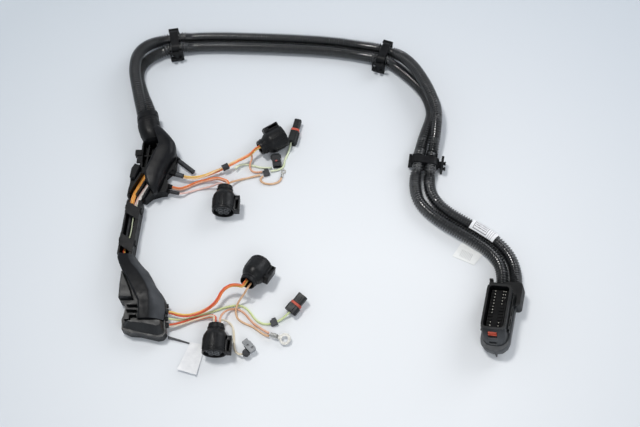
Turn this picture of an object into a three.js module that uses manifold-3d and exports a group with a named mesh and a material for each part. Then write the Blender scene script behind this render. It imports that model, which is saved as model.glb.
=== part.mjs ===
// Engine wiring harness lying flat on a bench.
//
// Two corrugated conduits run from a multi-way plug round a wide bend, through three
// two-tube clips, into an upper branch housing. A duct carries wires on to a lower
// branch housing. Each housing feeds two round injector plugs and some small sensor parts.
//
// Units are millimetres and +Z is up. The bench is z = 0 and the origin is the middle of
// the harness's footprint. Azimuths are degrees from +X towards +Y.

import * as THREE from 'three';
import { mergeVertices } from 'three/addons/utils/BufferGeometryUtils.js';
import Module from 'manifold-3d';

const wasm = await Module();
wasm.setup();

// Clearance between pieces that touch
const GAP = 0.3;

// Corrugated conduits and the trunk they make together
const CONDUIT_DIAMETER = 13;
const CONDUIT_SIDES = 10;
const CONDUIT_STEP = 14;
const CLIP_FLOOR = 1.8;

// Multi-way plug
const PLUG_AT = [187.4, -152.8];
const PLUG_AZIMUTH = -13.8;
const PLUG_ROLL = 18;
const PLUG_HEIGHT = 35;
const SHROUD_WIDTH = 24.5;
const SHROUD_LENGTH = 49;
const SHROUD_WALL = 2.2;
const SHROUD_DEPTH = 13;
const SHROUD_CORNER = 4.5;
const BACKSHELL_WIDTH = 30;
const BACKSHELL_HEIGHT = 15;
const BACKSHELL_NEAR = 39;
const BACKSHELL_FAR = 36;
const BACKSHELL_EDGE = 10;
const CHIN_REACH = 9;
const PIN_ROWS = 12;
const PIN_PITCH = (SHROUD_LENGTH - 11.6) / (PIN_ROWS - 1);
const PIN_COLUMNS = [-5.6, 4.3];
const PIN_WIDTH = 4.2;
const PIN_LENGTH = 1.4;
const PIN_HEIGHT = 1.2;
const INSERT_THICKNESS = 6.5;
const INSERT_MOAT = 1.6;
const LOCK_SIZE = [8.6, 2.4, 6.4];

// Branch housings and the duct between them
const HOUSING_WALL = 2.2;
const BASE_HEIGHT = 13;
const DUCT_WIDTH = 15.6;
const DUCT_HEIGHT = 17;
const DUCT_WALL = 2;
const DUCT_FROM = [-192.2, -21];
const DUCT_LENGTH = 64;
const DUCT_AZIMUTH = -94.6;
const STRAP_WIDTH = 13.5;
const STRAP_SKEW = 8.5;
const STRAP_THICKNESS = 1.8;

// Round injector plugs
const RING_DIAMETER = 24.5;
const RING_LENGTH = 19;
const RING_WALL = 1.9;
const CAP_DIAMETER = 16;
const CAP_LENGTH = 7;
const SHOULDER_LENGTH = 5;
const SOCKET_DEPTH = 12;
const CORE_DIAMETER = 14.6;
const CONTACT_DIAMETER = 3.2;
const WIRE_ENTRY_DIAMETER = 11.4;
const WIRE_ENTRY_DEPTH = 4;
const RING_SEGMENTS = 16;

// Small sensor plugs
const SEAL_WIDTH = 3.2;
const SENSOR_NECK = 2.6;

// Wires
const WIRE_DIAMETER = 2.2;
const PAIR_DIAMETER = 3.8;
const WIRE_SIDES = 8;

// Tags and labels
const LABEL_THICKNESS = 0.5;
const TAG_THICKNESS = 0.5;

// Finishes
function finish(colour, roughness, metalness = 0) {
  return new THREE.MeshStandardMaterial({ color: colour, roughness, metalness });
}
const BLACK_RIBBED = () => finish(0x17181a, 0.5);
const BLACK_PLASTIC = () => finish(0x1d1f22, 0.45);
const GREY_PLASTIC = () => finish(0x3b3f42, 0.5);
const PALE_GREY_PLASTIC = () => finish(0x8a8b8e, 0.5);
const RED_PLASTIC = () => finish(0xc2462c, 0.45);
const RED_RUBBER = () => finish(0xd2553a, 0.7);
const HEAT_SHRINK = () => finish(0x24262b, 0.6);
const TINNED = () => finish(0xb9bbbd, 0.35, 1);
const WHITE_LABEL = () => finish(0xe8e8e6, 0.6);
const WIRE = (colour) => finish(colour, 0.45);

// Solids

const radians = THREE.MathUtils.degToRad;

function toSolid(geometry) {
  const bare = geometry.clone();
  bare.deleteAttribute('normal');
  bare.deleteAttribute('uv');
  const merged = mergeVertices(bare, 1e-4);
  const corners = merged.index.array;
  const kept = [];
  for (let i = 0; i < corners.length; i += 3) {
    const [a, b, c] = [corners[i], corners[i + 1], corners[i + 2]];
    if (a !== b && b !== c && c !== a) {
      kept.push(a, b, c);
    }
  }
  return new wasm.Manifold(new wasm.Mesh({
    numProp: 3,
    vertProperties: new Float32Array(merged.attributes.position.array),
    triVerts: new Uint32Array(kept),
  }));
}

function toGeometry(solid) {
  const mesh = solid.getMesh();
  const geometry = new THREE.BufferGeometry();
  const positions = Float32Array.from(mesh.vertProperties);
  geometry.setAttribute('position', new THREE.BufferAttribute(positions, 3));
  geometry.setIndex(Array.from(mesh.triVerts));
  geometry.computeVertexNormals();
  return geometry;
}

function join(...solids) {
  return solids.reduce((whole, solid) => whole.add(solid));
}

function cut(solid, ...tools) {
  return tools.reduce((rest, tool) => rest.subtract(tool), solid);
}

function block(width, length, height, x, y, z) {
  return toSolid(new THREE.BoxGeometry(width, length, height).translate(x, y, z));
}

// A bar between two heights with the outline of a shape
function prism(shape, bottom, top, curveSegments = 6) {
  const settings = { depth: top - bottom, bevelEnabled: false, curveSegments };
  return toSolid(new THREE.ExtrudeGeometry(shape, settings).translate(0, 0, bottom));
}

// A shape that is turned round the Y axis, from [radius, y] pairs
function turned(profile, segments = 24) {
  const points = profile.map(([radius, y]) => new THREE.Vector2(radius, y));
  return toSolid(new THREE.LatheGeometry(points, segments));
}

function rod(diameter, length, sides = 16) {
  return toSolid(new THREE.CylinderGeometry(diameter / 2, diameter / 2, length, sides));
}

function polygon(points) {
  return new THREE.Shape(points.map(([x, y]) => new THREE.Vector2(x, y)));
}

function roundedRectangle(width, length, radius) {
  const shape = new THREE.Shape();
  const x = width / 2;
  const y = length / 2;
  shape.moveTo(-x + radius, -y);
  shape.lineTo(x - radius, -y);
  shape.absarc(x - radius, -y + radius, radius, -Math.PI / 2, 0);
  shape.lineTo(x, y - radius);
  shape.absarc(x - radius, y - radius, radius, 0, Math.PI / 2);
  shape.lineTo(-x + radius, y);
  shape.absarc(-x + radius, y - radius, radius, Math.PI / 2, Math.PI);
  shape.lineTo(-x, -y + radius);
  shape.absarc(-x + radius, -y + radius, radius, Math.PI, 1.5 * Math.PI);
  return shape;
}

// A closed body through a row of rings of [x, y, z] points, each ring with as many points
function loft(rings) {
  const count = rings[0].length;
  const positions = rings.flat(2);
  const faces = [];
  for (let r = 0; r < rings.length - 1; r += 1) {
    for (let i = 0; i < count; i += 1) {
      const a = r * count + i;
      const b = r * count + ((i + 1) % count);
      faces.push(a, b, b + count, a, b + count, a + count);
    }
  }
  capFaces(rings[0], 0, true, faces);
  capFaces(rings[rings.length - 1], (rings.length - 1) * count, false, faces);
  const geometry = new THREE.BufferGeometry();
  geometry.setAttribute('position', new THREE.Float32BufferAttribute(positions, 3));
  geometry.setIndex(faces);
  const solid = toSolid(geometry);
  return solid.volume() < 0 ? toSolid(turnedInsideOut(geometry)) : solid;
}

function capFaces(ring, first, flipped, faces) {
  const [right, up] = planeAxes(ring);
  const flat = ring.map((point) => {
    const vector = new THREE.Vector3(...point);
    return new THREE.Vector2(vector.dot(right), vector.dot(up));
  });
  for (const [a, b, c] of THREE.ShapeUtils.triangulateShape(flat, [])) {
    const order = flipped ? [a, c, b] : [a, b, c];
    faces.push(...order.map((corner) => corner + first));
  }
}

// Two axes in a ring's plane, so that the ring runs anticlockwise in them
function planeAxes(ring) {
  const normal = new THREE.Vector3();
  ring.forEach((point, i) => {
    const here = new THREE.Vector3(...point);
    const next = new THREE.Vector3(...ring[(i + 1) % ring.length]);
    normal.add(here.cross(next));
  });
  normal.normalize();
  const helper = Math.abs(normal.z) > 0.7 ? new THREE.Vector3(1, 0, 0) : new THREE.Vector3(0, 0, 1);
  const right = helper.clone().cross(normal).normalize();
  const up = normal.clone().cross(right);
  return [right, up];
}

function turnedInsideOut(geometry) {
  const flipped = geometry.clone();
  const index = flipped.index.array;
  for (let i = 0; i < index.length; i += 3) {
    [index[i + 1], index[i + 2]] = [index[i + 2], index[i + 1]];
  }
  return flipped;
}

// An outline moved inwards by a distance, point by point
function inset(points, distance) {
  const count = points.length;
  return points.map(([x, y], i) => {
    const before = points[(i + count - 1) % count];
    const after = points[(i + 1) % count];
    const along = new THREE.Vector2(after[0] - before[0], after[1] - before[1]).normalize();
    return [x - along.y * distance, y + along.x * distance];
  });
}

// A moulding with a rounded top or bottom: [height, inset] for each level of one outline
function moulding(points, levels) {
  return loft(levels.map(([z, distance]) => inset(points, distance).map(([x, y]) => [x, y, z])));
}

// Round tubes along a route

function sectionShape(diameter, sides) {
  const points = [];
  for (let i = 0; i < sides; i += 1) {
    const angle = (2 * Math.PI * i) / sides;
    points.push(new THREE.Vector2(diameter / 2 * Math.cos(angle), diameter / 2 * Math.sin(angle)));
  }
  return new THREE.Shape(points);
}

function routeCurve(points) {
  const vectors = points.map((point) => new THREE.Vector3(...point));
  return new THREE.CatmullRomCurve3(vectors, false, 'centripetal');
}

function tubeAlong(points, diameter, sides, step) {
  const extrudePath = routeCurve(points);
  const steps = Math.max(2, Math.round(extrudePath.getLength() / step));
  const shape = sectionShape(diameter, sides);
  return toSolid(new THREE.ExtrudeGeometry(shape, { steps, extrudePath, bevelEnabled: false }));
}

// The trunk: the middle of the two conduits as [x, y, twist, spread], from the upper
// housing to the plug. The twist is 0 where they lie side by side and 90 where the outer
// one lies on the inner one, and the spread is how far they part.

const CLIPS = {
  conduit_clip_left: { at: [-164.5, 191.6], azimuth: 10 },
  conduit_clip_right: { at: [77.5, 174.6], azimuth: -20 },
  conduit_clip_lower: { at: [118, 29.5], azimuth: -98, turned: true },
};

const TRUNK_UPPER = [
  [-184.5, 74, 50, 0], [-187, 83, 50, 0], [-190, 94, 52, 0], [-194, 106, 60, 0], [-198, 118, 70, 0],
  [-201.5, 130, 76, 0], [-204.5, 142, 80, 0], [-204.8, 154, 78, 0], [-202.5, 164, 66, 0],
  [-197, 173.5, 50, 0], [-189.5, 181, 32, 0], [-180.5, 187, 14, 0],
];
const TRUNK_TOP = [
  [-147, 194.2, 0, 0], [-136, 195, 0, 0], [-113, 195.4, 0, 0], [-90, 194.8, 0, 0], [-66, 194, 0, 0],
  [-43, 193, 0, 0], [-19, 191.6, 0, 0], [4, 189.8, 0, 0], [27, 187, 0, 0], [50.5, 182.6, 0, 0],
];
const TRUNK_RIGHT = [
  [94.5, 164.8, 24, 0], [106, 151, 50, 0], [115.7, 136.5, 72, 0], [123.3, 122.5, 84, 0],
  [128.5, 107, 84, 0], [130.8, 94.5, 76, 0], [129.6, 82, 62, 0], [127, 70.5, 46, 0],
  [124, 58, 28, 0], [120.8, 44, 6, 0],
];
const TRUNK_LOWER = [
  [115.4, 14, 0, 1.4], [114.3, 1, 0, 1.8], [116.2, -11, 0, 2.4], [121.3, -20.5, 0, 1.6],
  [128.5, -29, 0, 0.4], [141, -39.5, 0, 0], [155, -49, 0, 0], [169, -58.5, 0, 0],
  [182.3, -69, 0, 0], [190.5, -78.6, 0, 0], [195.8, -88.5, 0, 0], [198, -99.5, 0, 0],
  [198, -110, 6, 0], [196.4, -120, 12, 0], [194, -130, 18, 0],
];
const CLIP_HEIGHT = CLIP_FLOOR + GAP + CONDUIT_DIAMETER / 2;
const CLIP_RUN = 9;

function clipPassage({ at, azimuth }) {
  const along = [Math.cos(radians(azimuth)), Math.sin(radians(azimuth))];
  return [-CLIP_RUN, 0, CLIP_RUN].map((distance) => (
    [at[0] + along[0] * distance, at[1] + along[1] * distance, 0, 0, CLIP_HEIGHT]
  ));
}

const TRUNK = [
  ...TRUNK_UPPER,
  ...clipPassage(CLIPS.conduit_clip_left),
  ...TRUNK_TOP,
  ...clipPassage(CLIPS.conduit_clip_right),
  ...TRUNK_RIGHT,
  ...clipPassage(CLIPS.conduit_clip_lower),
  ...TRUNK_LOWER,
];
const CONDUIT_SPACING = CONDUIT_DIAMETER + 2 * GAP;

// The outer conduit is on the left of the trunk's way and the inner one on its right
function conduitRoute(isOuter) {
  return TRUNK.map(([x, y, twist, spread, height], i) => {
    const before = TRUNK[Math.max(i - 1, 0)];
    const after = TRUNK[Math.min(i + 1, TRUNK.length - 1)];
    const along = new THREE.Vector2(after[0] - before[0], after[1] - before[1]).normalize();
    const side = (isOuter ? 1 : -1) * (CONDUIT_SPACING * Math.cos(radians(twist)) + spread) / 2;
    const lift = isOuter ? CONDUIT_SPACING * Math.sin(radians(twist)) : 0;
    const rest = height ?? CONDUIT_DIAMETER / 2 + 0.25;
    return [x - along.y * side, y + along.x * side, rest + lift];
  });
}

function conduit(isOuter, clearance = 0) {
  return tubeAlong(conduitRoute(isOuter), CONDUIT_DIAMETER + 2 * clearance, CONDUIT_SIDES, CONDUIT_STEP);
}

function bothConduits(clearance) {
  const scale = 1 / Math.cos(Math.PI / CONDUIT_SIDES);
  const extra = (CONDUIT_DIAMETER * (scale - 1)) / 2 + clearance;
  return join(conduit(true, extra), conduit(false, extra));
}

// Two-tube clip: a figure-eight band, a hinge knuckle on the outer side, and on the inner
// side an upright foot with two snap prongs
function conduitClip() {
  const bandWidth = 9;
  const wall = CLIP_FLOOR;
  const halfWidth = CONDUIT_SPACING / 2 + CONDUIT_DIAMETER / 2 + GAP + wall;
  const height = CONDUIT_DIAMETER + 2 * (GAP + wall);
  const bandShape = roundedRectangle(2 * halfWidth, height, height * 0.42);
  const band = toSolid(new THREE.ExtrudeGeometry(bandShape, {
    depth: bandWidth, bevelEnabled: false, curveSegments: 4,
  }).translate(0, 0, -bandWidth / 2).rotateX(Math.PI / 2).translate(0, 0, height / 2));
  const boreSides = 16;
  const boreDiameter = (CONDUIT_DIAMETER + 2.6 * GAP) / Math.cos(Math.PI / boreSides);
  const bores = [-1, 1].map((side) => (
    rod(boreDiameter, bandWidth * 2, boreSides).translate([side * CONDUIT_SPACING / 2, 0, CLIP_HEIGHT])
  ));

  const knuckleDepth = 3;
  const knuckle = block(knuckleDepth, bandWidth + 2.4, height * 0.62, -halfWidth - 0.6, 0, height * 0.52);
  const ridge = block(2, bandWidth + 2.4, 1.4, -halfWidth + 2.2, 0, height * 0.86);

  const webReach = 3;
  const plateThickness = 2.4;
  const plateWidth = 15;
  const prongReach = 4;
  const webX = halfWidth + webReach / 2 - 0.6;
  const plateX = halfWidth + webReach + plateThickness / 2 - 0.6;
  const web = block(webReach + 1.6, 4, height * 0.5, webX, 0, height * 0.45);
  const plate = block(plateThickness, plateWidth, height * 0.8, plateX, 0, height * 0.46);
  const slot = block(plateThickness * 3, 3.2, height * 0.36, plateX, -4.8, height * 0.6);
  const prongs = [-3.4, 3.4].map((y) => join(
    block(prongReach, 1.8, 3.4, plateX + prongReach / 2, y, height * 0.36),
    block(1.6, 3, 3.4, plateX + prongReach - 0.8, y, height * 0.36),
  ));
  const peak = block(plateThickness, 3, 3, plateX, plateWidth / 2 - 3, height * 0.86 + 1);
  return cut(join(band, knuckle, ridge, web, plate, peak, ...prongs), slot, ...bores);
}

// Multi-way plug, in its own frame: X across, Y along towards the conduits, Z the way it mates

const PLUG_LIFT = 0.1 + BACKSHELL_EDGE
  - Math.cos(radians(PLUG_ROLL)) * BACKSHELL_EDGE
  + Math.sin(radians(PLUG_ROLL)) * (BACKSHELL_WIDTH / 2 - BACKSHELL_EDGE);

const plugFrame = new THREE.Group();
plugFrame.position.set(PLUG_AT[0], PLUG_AT[1], PLUG_LIFT);
plugFrame.rotation.set(0, radians(-PLUG_ROLL), radians(PLUG_AZIMUTH), 'ZYX');
plugFrame.updateMatrixWorld(true);

function intoFrame(frame, solid) {
  const inverse = frame.matrixWorld.clone().invert();
  return toSolid(toGeometry(solid).applyMatrix4(inverse));
}

// An outline with its own corner radius at each end: near is towards -Y
function plugOutline(width, near, far, nearCorner, farCorner, segments = 3) {
  const x = width / 2;
  const corners = [
    [x - nearCorner, -near + nearCorner, nearCorner, -90],
    [x - farCorner, far - farCorner, farCorner, 0],
    [-x + farCorner, far - farCorner, farCorner, 90],
    [-x + nearCorner, -near + nearCorner, nearCorner, 180],
  ];
  return corners.flatMap(([cx, cy, radius, start]) => {
    const arc = [];
    for (let i = 0; i <= segments; i += 1) {
      const angle = radians(start + (90 * i) / segments);
      arc.push([cx + radius * Math.cos(angle), cy + radius * Math.sin(angle)]);
    }
    return arc;
  });
}

// The backshell's outline, drawn in by a distance where its lower edge rounds off
function backshellRing(z, drawnIn) {
  return plugOutline(BACKSHELL_WIDTH - 1.7 * drawnIn, BACKSHELL_NEAR - drawnIn * 0.5, BACKSHELL_FAR - drawnIn * 0.5,
    Math.max(12.5 - drawnIn * 0.6, 1), Math.max(4 - drawnIn * 0.3, 1)).map(([x, y]) => [x, y, z]);
}

function plugBackshell() {
  const roundedEdge = [0, 0.12, 0.3, 0.55, 1].map((share) => {
    const z = BACKSHELL_EDGE * share;
    const rise = BACKSHELL_EDGE - z;
    return backshellRing(z, BACKSHELL_EDGE - Math.sqrt(BACKSHELL_EDGE ** 2 - rise ** 2));
  });
  const body = loft([
    ...roundedEdge,
    backshellRing(BACKSHELL_HEIGHT - 1, 0),
    backshellRing(BACKSHELL_HEIGHT, 0.8),
  ]);
  const holderLength = 26;
  const holderWidth = 19;
  const holder = prism(
    roundedRectangle(holderWidth, holderLength, 3.4),
    2.5,
    BACKSHELL_HEIGHT + 3,
    4,
  ).translate([BACKSHELL_WIDTH / 2 + 4.2 - holderWidth / 2, BACKSHELL_FAR - holderLength / 2, 0]);
  const seamRib = block(1.2, 9, 10, 1.4, -BACKSHELL_NEAR + 4, 6);
  const whole = join(body, holder, seamRib);
  return cut(whole, intoFrame(plugFrame, bothConduits(GAP)), plugHousingSeat());
}

// Room that the backshell leaves round the housing where they meet
function plugHousingSeat() {
  const seat = plugOutline(SHROUD_WIDTH + 2 * GAP, SHROUD_LENGTH / 2 + CHIN_REACH + GAP,
    SHROUD_LENGTH / 2 + GAP, 9, SHROUD_CORNER);
  const shape = polygon(seat);
  return prism(shape, BACKSHELL_HEIGHT - 1.5, PLUG_HEIGHT);
}

function plugHousing() {
  const bottom = BACKSHELL_HEIGHT - 1.5 + GAP;
  const length = SHROUD_LENGTH / 2;
  const low = plugOutline(SHROUD_WIDTH, length + CHIN_REACH, length, 9, SHROUD_CORNER);
  const high = plugOutline(SHROUD_WIDTH, length, length, SHROUD_CORNER, SHROUD_CORNER);
  const body = loft([
    low.map(([x, y]) => [x, y, bottom]),
    low.map(([x, y]) => [x, y, bottom + 4]),
    high.map(([x, y]) => [x, y, PLUG_HEIGHT - 2]),
    high.map(([x, y]) => [x, y, PLUG_HEIGHT]),
  ]);
  const rails = [-1, 1].flatMap((side) => {
    const x = side * (SHROUD_WIDTH / 2 + 0.4);
    return [
      block(3.2, SHROUD_LENGTH - 6, 2.2, x, 0, bottom + 8),
      block(2.4, SHROUD_LENGTH - 10, 1.6, x, 0, bottom + 12.6),
      ...[-17, -6, 5, 16].map((y) => block(2.6, 3.2, 8, x, y, bottom + 8.6)),
    ];
  });
  const ear = join(
    block(3.4, 6.4, 3, -SHROUD_WIDTH / 2 + 2.6, length + 2.4, PLUG_HEIGHT - 4),
    block(3.4, 2, 5, -SHROUD_WIDTH / 2 + 2.6, length + 4.6, PLUG_HEIGHT - 3),
  );
  const recess = prism(
    roundedRectangle(SHROUD_WIDTH - 2 * SHROUD_WALL, SHROUD_LENGTH - 2 * SHROUD_WALL,
      SHROUD_CORNER - SHROUD_WALL + 1),
    PLUG_HEIGHT - SHROUD_DEPTH,
    PLUG_HEIGHT + 1,
    4,
  );
  const [lockWidth, lockDepth, lockHeight] = LOCK_SIZE;
  const window = block(lockWidth + 2 * GAP, 8, lockHeight + 2 * GAP,
    -0.5, -length - 4, PLUG_HEIGHT - 4.6 - lockHeight / 2);
  const lowerWindow = block(7.4, 7, 3.4, -0.5, -length - CHIN_REACH + 1, bottom + 5);
  return cut(join(body, ...rails, ear), recess, window, lowerWindow);
}

// The contact carrier: a plate at the bottom of the shroud with a field of contact posts
function plugInsert() {
  const floor = PLUG_HEIGHT - SHROUD_DEPTH + GAP;
  const clear = 2 * (SHROUD_WALL + GAP);
  const base = prism(
    roundedRectangle(SHROUD_WIDTH - clear, SHROUD_LENGTH - clear, SHROUD_CORNER - SHROUD_WALL),
    floor,
    floor + 1.4,
    3,
  );
  const drawnIn = clear + 2 * INSERT_MOAT;
  const plate = prism(
    roundedRectangle(SHROUD_WIDTH - drawnIn, SHROUD_LENGTH - drawnIn, 1.6),
    floor + 1,
    floor + INSERT_THICKNESS,
    3,
  );
  const posts = [];
  for (let row = 0; row < PIN_ROWS; row += 1) {
    for (const x of PIN_COLUMNS) {
      const y = (row - (PIN_ROWS - 1) / 2) * PIN_PITCH;
      posts.push(block(PIN_WIDTH, PIN_LENGTH, PIN_HEIGHT, x, y, floor + INSERT_THICKNESS + 0.4));
    }
  }
  return join(base, plate, ...posts);
}

function plugLock() {
  const [width, depth, height] = LOCK_SIZE;
  const y = -SHROUD_LENGTH / 2 - depth / 2 - 0.4;
  const z = PLUG_HEIGHT - 4.6 - height / 2;
  const tongue = block(width, depth, height, -0.5, y, z);
  const lip = block(width, 1.2, 1.2, -0.5, y - depth / 2 - 0.4, z + 0.2);
  return join(tongue, lip);
}

// Upper branch housing. Its stations run from the conduits to the duct.

const UPPER_BASE_OUTLINE = [
  [-193.4, 66], [-191.6, 60.6], [-190.2, 54.8], [-190.8, 48], [-190.8, 28], [-191.4, 24.6],
  [-195.4, 22], [-198.8, 16.6], [-199.8, 9.6], [-199.8, 1.3], [-201, -5], [-201.6, -14],
  [-181.6, -18.5], [-175.5, -12.6], [-166.8, -9.6], [-160.6, -8.6], [-158.6, -3], [-159.8, 4],
  [-162, 11.6], [-157.6, 16], [-152.4, 22], [-152.2, 31], [-152.4, 39.5], [-154.8, 48], [-159.5, 56],
  [-167, 65], [-176, 73.4], [-189, 76],
];

// [left x, left y, right x, right y, top] for each station of the smooth cover
const UPPER_COVER_STATIONS = [
  [-181, 72, -176.8, 74, 22], [-178.5, 65, -168.8, 66.6, 25], [-174, 54, -159.4, 56.2, 27],
  [-171, 44, -153.8, 48.2, 27.4], [-174, 36.4, -152.2, 41, 27.4], [-177.2, 28, -152.6, 33.8, 27],
  [-180.6, 18, -157.6, 24.4, 26.6], [-183.4, 8.6, -161.6, 13.6, 26],
  [-180.4, -1.6, -164.6, 3.6, 25], [-176.2, -9.2, -167, -5.4, 22.6], [-172.6, -14.4, -169.4, -12, 19],
];

function coverRings(stations, bottom) {
  return stations.map(([leftX, leftY, rightX, rightY, top]) => {
    const across = (share, z) => [leftX + (rightX - leftX) * share, leftY + (rightY - leftY) * share, z];
    const height = top - bottom;
    return [
      across(0, bottom), across(0.98, bottom), across(1, bottom + height * 0.3),
      across(0.94, bottom + height * 0.66), across(0.78, bottom + height * 0.9),
      across(0.45, top), across(0.06, top), across(0, bottom + height * 0.88),
    ];
  });
}

function upperCover() {
  return cut(loft(coverRings(UPPER_COVER_STATIONS, BASE_HEIGHT + GAP)), bothConduits(GAP), upperBootSolid(GAP));
}

function upperBootSolid(clearance) {
  const ring = (x, y, azimuth, width, height, lift) => {
    const points = [];
    const sides = 12;
    const across = [-Math.sin(radians(azimuth)), Math.cos(radians(azimuth))];
    for (let i = 0; i < sides; i += 1) {
      const angle = (2 * Math.PI * i) / sides;
      const side = (width / 2 + clearance) * Math.cos(angle);
      points.push([x + across[0] * side, y + across[1] * side,
        lift + height / 2 + (height / 2 + clearance) * Math.sin(angle)]);
    }
    return points;
  };
  return loft([
    ring(-189.5, 89, 108, 21.5, 25, 0.6), ring(-187.6, 83, 108, 22.5, 26, 0.6),
    ring(-186.6, 80, 108, 21, 25, 0.6), ring(-184, 70, 104, 21, 25, 0.6),
    ring(-182.6, 61, 100, 19, 23, 0.6), ring(-182.2, 57.8, 99, 15, 18.4, 2),
  ]);
}

function upperBoot() {
  return cut(upperBootSolid(0), bothConduits(GAP));
}

// The path of the wires over the upper housing into the duct
const WINDOW_FROM = [-179.4, 11.6];
const WINDOW_TO = [-191.9, -15.4];
const WINDOW_WIDTH = 14.6;

function alongWindow(share, side) {
  const along = new THREE.Vector2(WINDOW_TO[0] - WINDOW_FROM[0], WINDOW_TO[1] - WINDOW_FROM[1]);
  const across = new THREE.Vector2(-along.y, along.x).normalize();
  return [WINDOW_FROM[0] + along.x * share + across.x * side, WINDOW_FROM[1] + along.y * share + across.y * side];
}

function upperBase() {
  const body = moulding(UPPER_BASE_OUTLINE, [[0, 1], [1, 0], [BASE_HEIGHT, 0]]);
  const half = WINDOW_WIDTH / 2;
  const wallShape = polygon([
    alongWindow(-0.1, half + HOUSING_WALL), alongWindow(0.98, half + HOUSING_WALL),
    alongWindow(0.98, half), alongWindow(-0.1, half),
  ]);
  const leftShape = polygon([
    alongWindow(0.1, -half), alongWindow(0.98, -half),
    alongWindow(0.98, -half - HOUSING_WALL), alongWindow(0.1, -half - HOUSING_WALL),
  ]);
  const latchBlock = moulding([[-195.4, 22.6], [-198.6, 17], [-199.6, 6], [-193.8, 4], [-189, 20]],
    [[BASE_HEIGHT - 1, 0], [19, 0], [20, 1]]);
  const tab = block(7, 8, 2.2, -191.6, 31.4, 11.9);
  const knob = block(7, 6.4, 7, -193.6, 39.4, 11);
  const channel = prism(polygon([
    alongWindow(-0.1, half), alongWindow(1.5, half), alongWindow(1.5, -half), alongWindow(-0.1, -half),
  ]), 7, 40);
  const divider = prism(polygon([
    alongWindow(0.12, 0.6), alongWindow(0.96, 0.6), alongWindow(0.96, -0.6), alongWindow(0.12, -0.6),
  ]), 6, 16.6);
  const right = prism(wallShape, BASE_HEIGHT - 1, 17.5);
  const recess = prism(polygon([
    [-188.8, 56], [-177.4, 56], [-173.4, 46], [-175.4, 37.5], [-178.6, 28.5], [-181.8, 21.5],
    [-188.4, 21.5], [-189, 30],
  ]), 3.4, 40);
  const recessRib = prism(polygon([[-183.4, 56.6], [-181.8, 56.6], [-184.2, 21], [-185.8, 21]]), 3, 10.6);
  const crossRib = block(14, 1.5, 6.4, -183, 38, 6);
  const hollow = cut(recess, recessRib, crossRib);
  const solid = cut(join(body, latchBlock, tab, knob, ...UPPER_EXITS.map(wireExit)), channel, hollow);
  const walls = cut(join(right, divider), loft(coverRings(UPPER_COVER_STATIONS, BASE_HEIGHT - 2)));
  const spareWall = cut(prism(leftShape, BASE_HEIGHT - 1, 17.5), prism(polygon(UPPER_COVER_SHADOW), 0, 40));
  return cut(join(solid, walls, spareWall), bothConduits(GAP), upperBootSolid(GAP), ductRoom());
}

const UPPER_COVER_SHADOW = [
  ...UPPER_COVER_STATIONS.map(([leftX, leftY]) => [leftX - GAP - 0.2, leftY]),
  ...UPPER_COVER_STATIONS.map(([, , rightX, rightY]) => [rightX + GAP + 0.2, rightY]).reverse(),
];

// Collars in the housings' sides that the branch wires leave through: the middle of each
// outer face, its azimuth, its diameter and how far back it reaches
const UPPER_EXITS = [
  { at: [-150.6, 34, 5], azimuth: -40, diameter: 7, reach: 7 },
  { at: [-152.4, 15.2, 9], azimuth: -20, diameter: 7.4, reach: 8 },
  { at: [-155.6, 0.2, 6.4], azimuth: -14, diameter: 6.4, reach: 6 },
  { at: [-157.4, -5.6, 6.6], azimuth: -10, diameter: 5.6, reach: 6 },
];
const LOWER_EXITS = [
  { at: [-149, -138.6, 8], azimuth: 6, diameter: 5.4, reach: 6 },
  { at: [-148.6, -145.8, 9.4], azimuth: -8, diameter: 6.6, reach: 6 },
  { at: [-148.6, -152.6, 8], azimuth: 4, diameter: 5.4, reach: 6 },
  { at: [-147.6, -159.2, 7.2], azimuth: 8, diameter: 6.6, reach: 6 },
];

function wireExit({ at, azimuth, diameter, reach }) {
  const collar = new THREE.CylinderGeometry(diameter / 2 - 0.5, diameter / 2, reach, 8)
    .rotateZ(-Math.PI / 2).translate(-reach / 2, 0, 0).rotateZ(radians(azimuth)).translate(...at);
  return toSolid(collar);
}

// Duct between the housings, in its own frame: Y along, from the upper housing down

const ductFrame = new THREE.Group();
ductFrame.position.set(DUCT_FROM[0], DUCT_FROM[1], 0);
ductFrame.rotation.z = radians(DUCT_AZIMUTH - 90);
ductFrame.updateMatrixWorld(true);

function ductRoom() {
  const room = block(DUCT_WIDTH + 2 * GAP, DUCT_LENGTH + 2 * GAP, 60, 0, DUCT_LENGTH / 2, 0);
  return toSolid(toGeometry(room).applyMatrix4(ductFrame.matrixWorld));
}

function ductChannel() {
  const half = DUCT_WIDTH / 2;
  const profile = polygon([
    [-half, 0], [half, 0], [half, DUCT_HEIGHT], [half - DUCT_WALL, DUCT_HEIGHT],
    [half - DUCT_WALL, DUCT_WALL], [-half + DUCT_WALL, DUCT_WALL], [-half + DUCT_WALL, DUCT_HEIGHT - 3],
    [-half + DUCT_WALL + 1.6, DUCT_HEIGHT - 3], [-half + DUCT_WALL + 1.6, DUCT_HEIGHT], [-half, DUCT_HEIGHT],
  ]);
  const channel = toSolid(new THREE.ExtrudeGeometry(profile, { depth: DUCT_LENGTH, bevelEnabled: false })
    .rotateX(Math.PI / 2).translate(0, DUCT_LENGTH, 0));
  const straps = [3, 41].map((y) => prism(polygon([
    [-half, y + STRAP_SKEW * 0.9], [half, y - STRAP_SKEW * 0.1],
    [half, y - STRAP_SKEW * 0.1 + STRAP_WIDTH], [-half, y + STRAP_SKEW * 0.9 + STRAP_WIDTH],
  ]), DUCT_HEIGHT - 0.5, DUCT_HEIGHT - 0.5 + STRAP_THICKNESS));
  const lugs = [8, 46].flatMap((y) => [
    block(1.6, 5, 6, -half - 0.5, y + 3, DUCT_HEIGHT - 5),
    block(1.6, 4, 5, half + 0.5, y, DUCT_HEIGHT - 4),
  ]);
  return join(channel, ...straps, ...lugs);
}

// Lower branch housing

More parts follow.
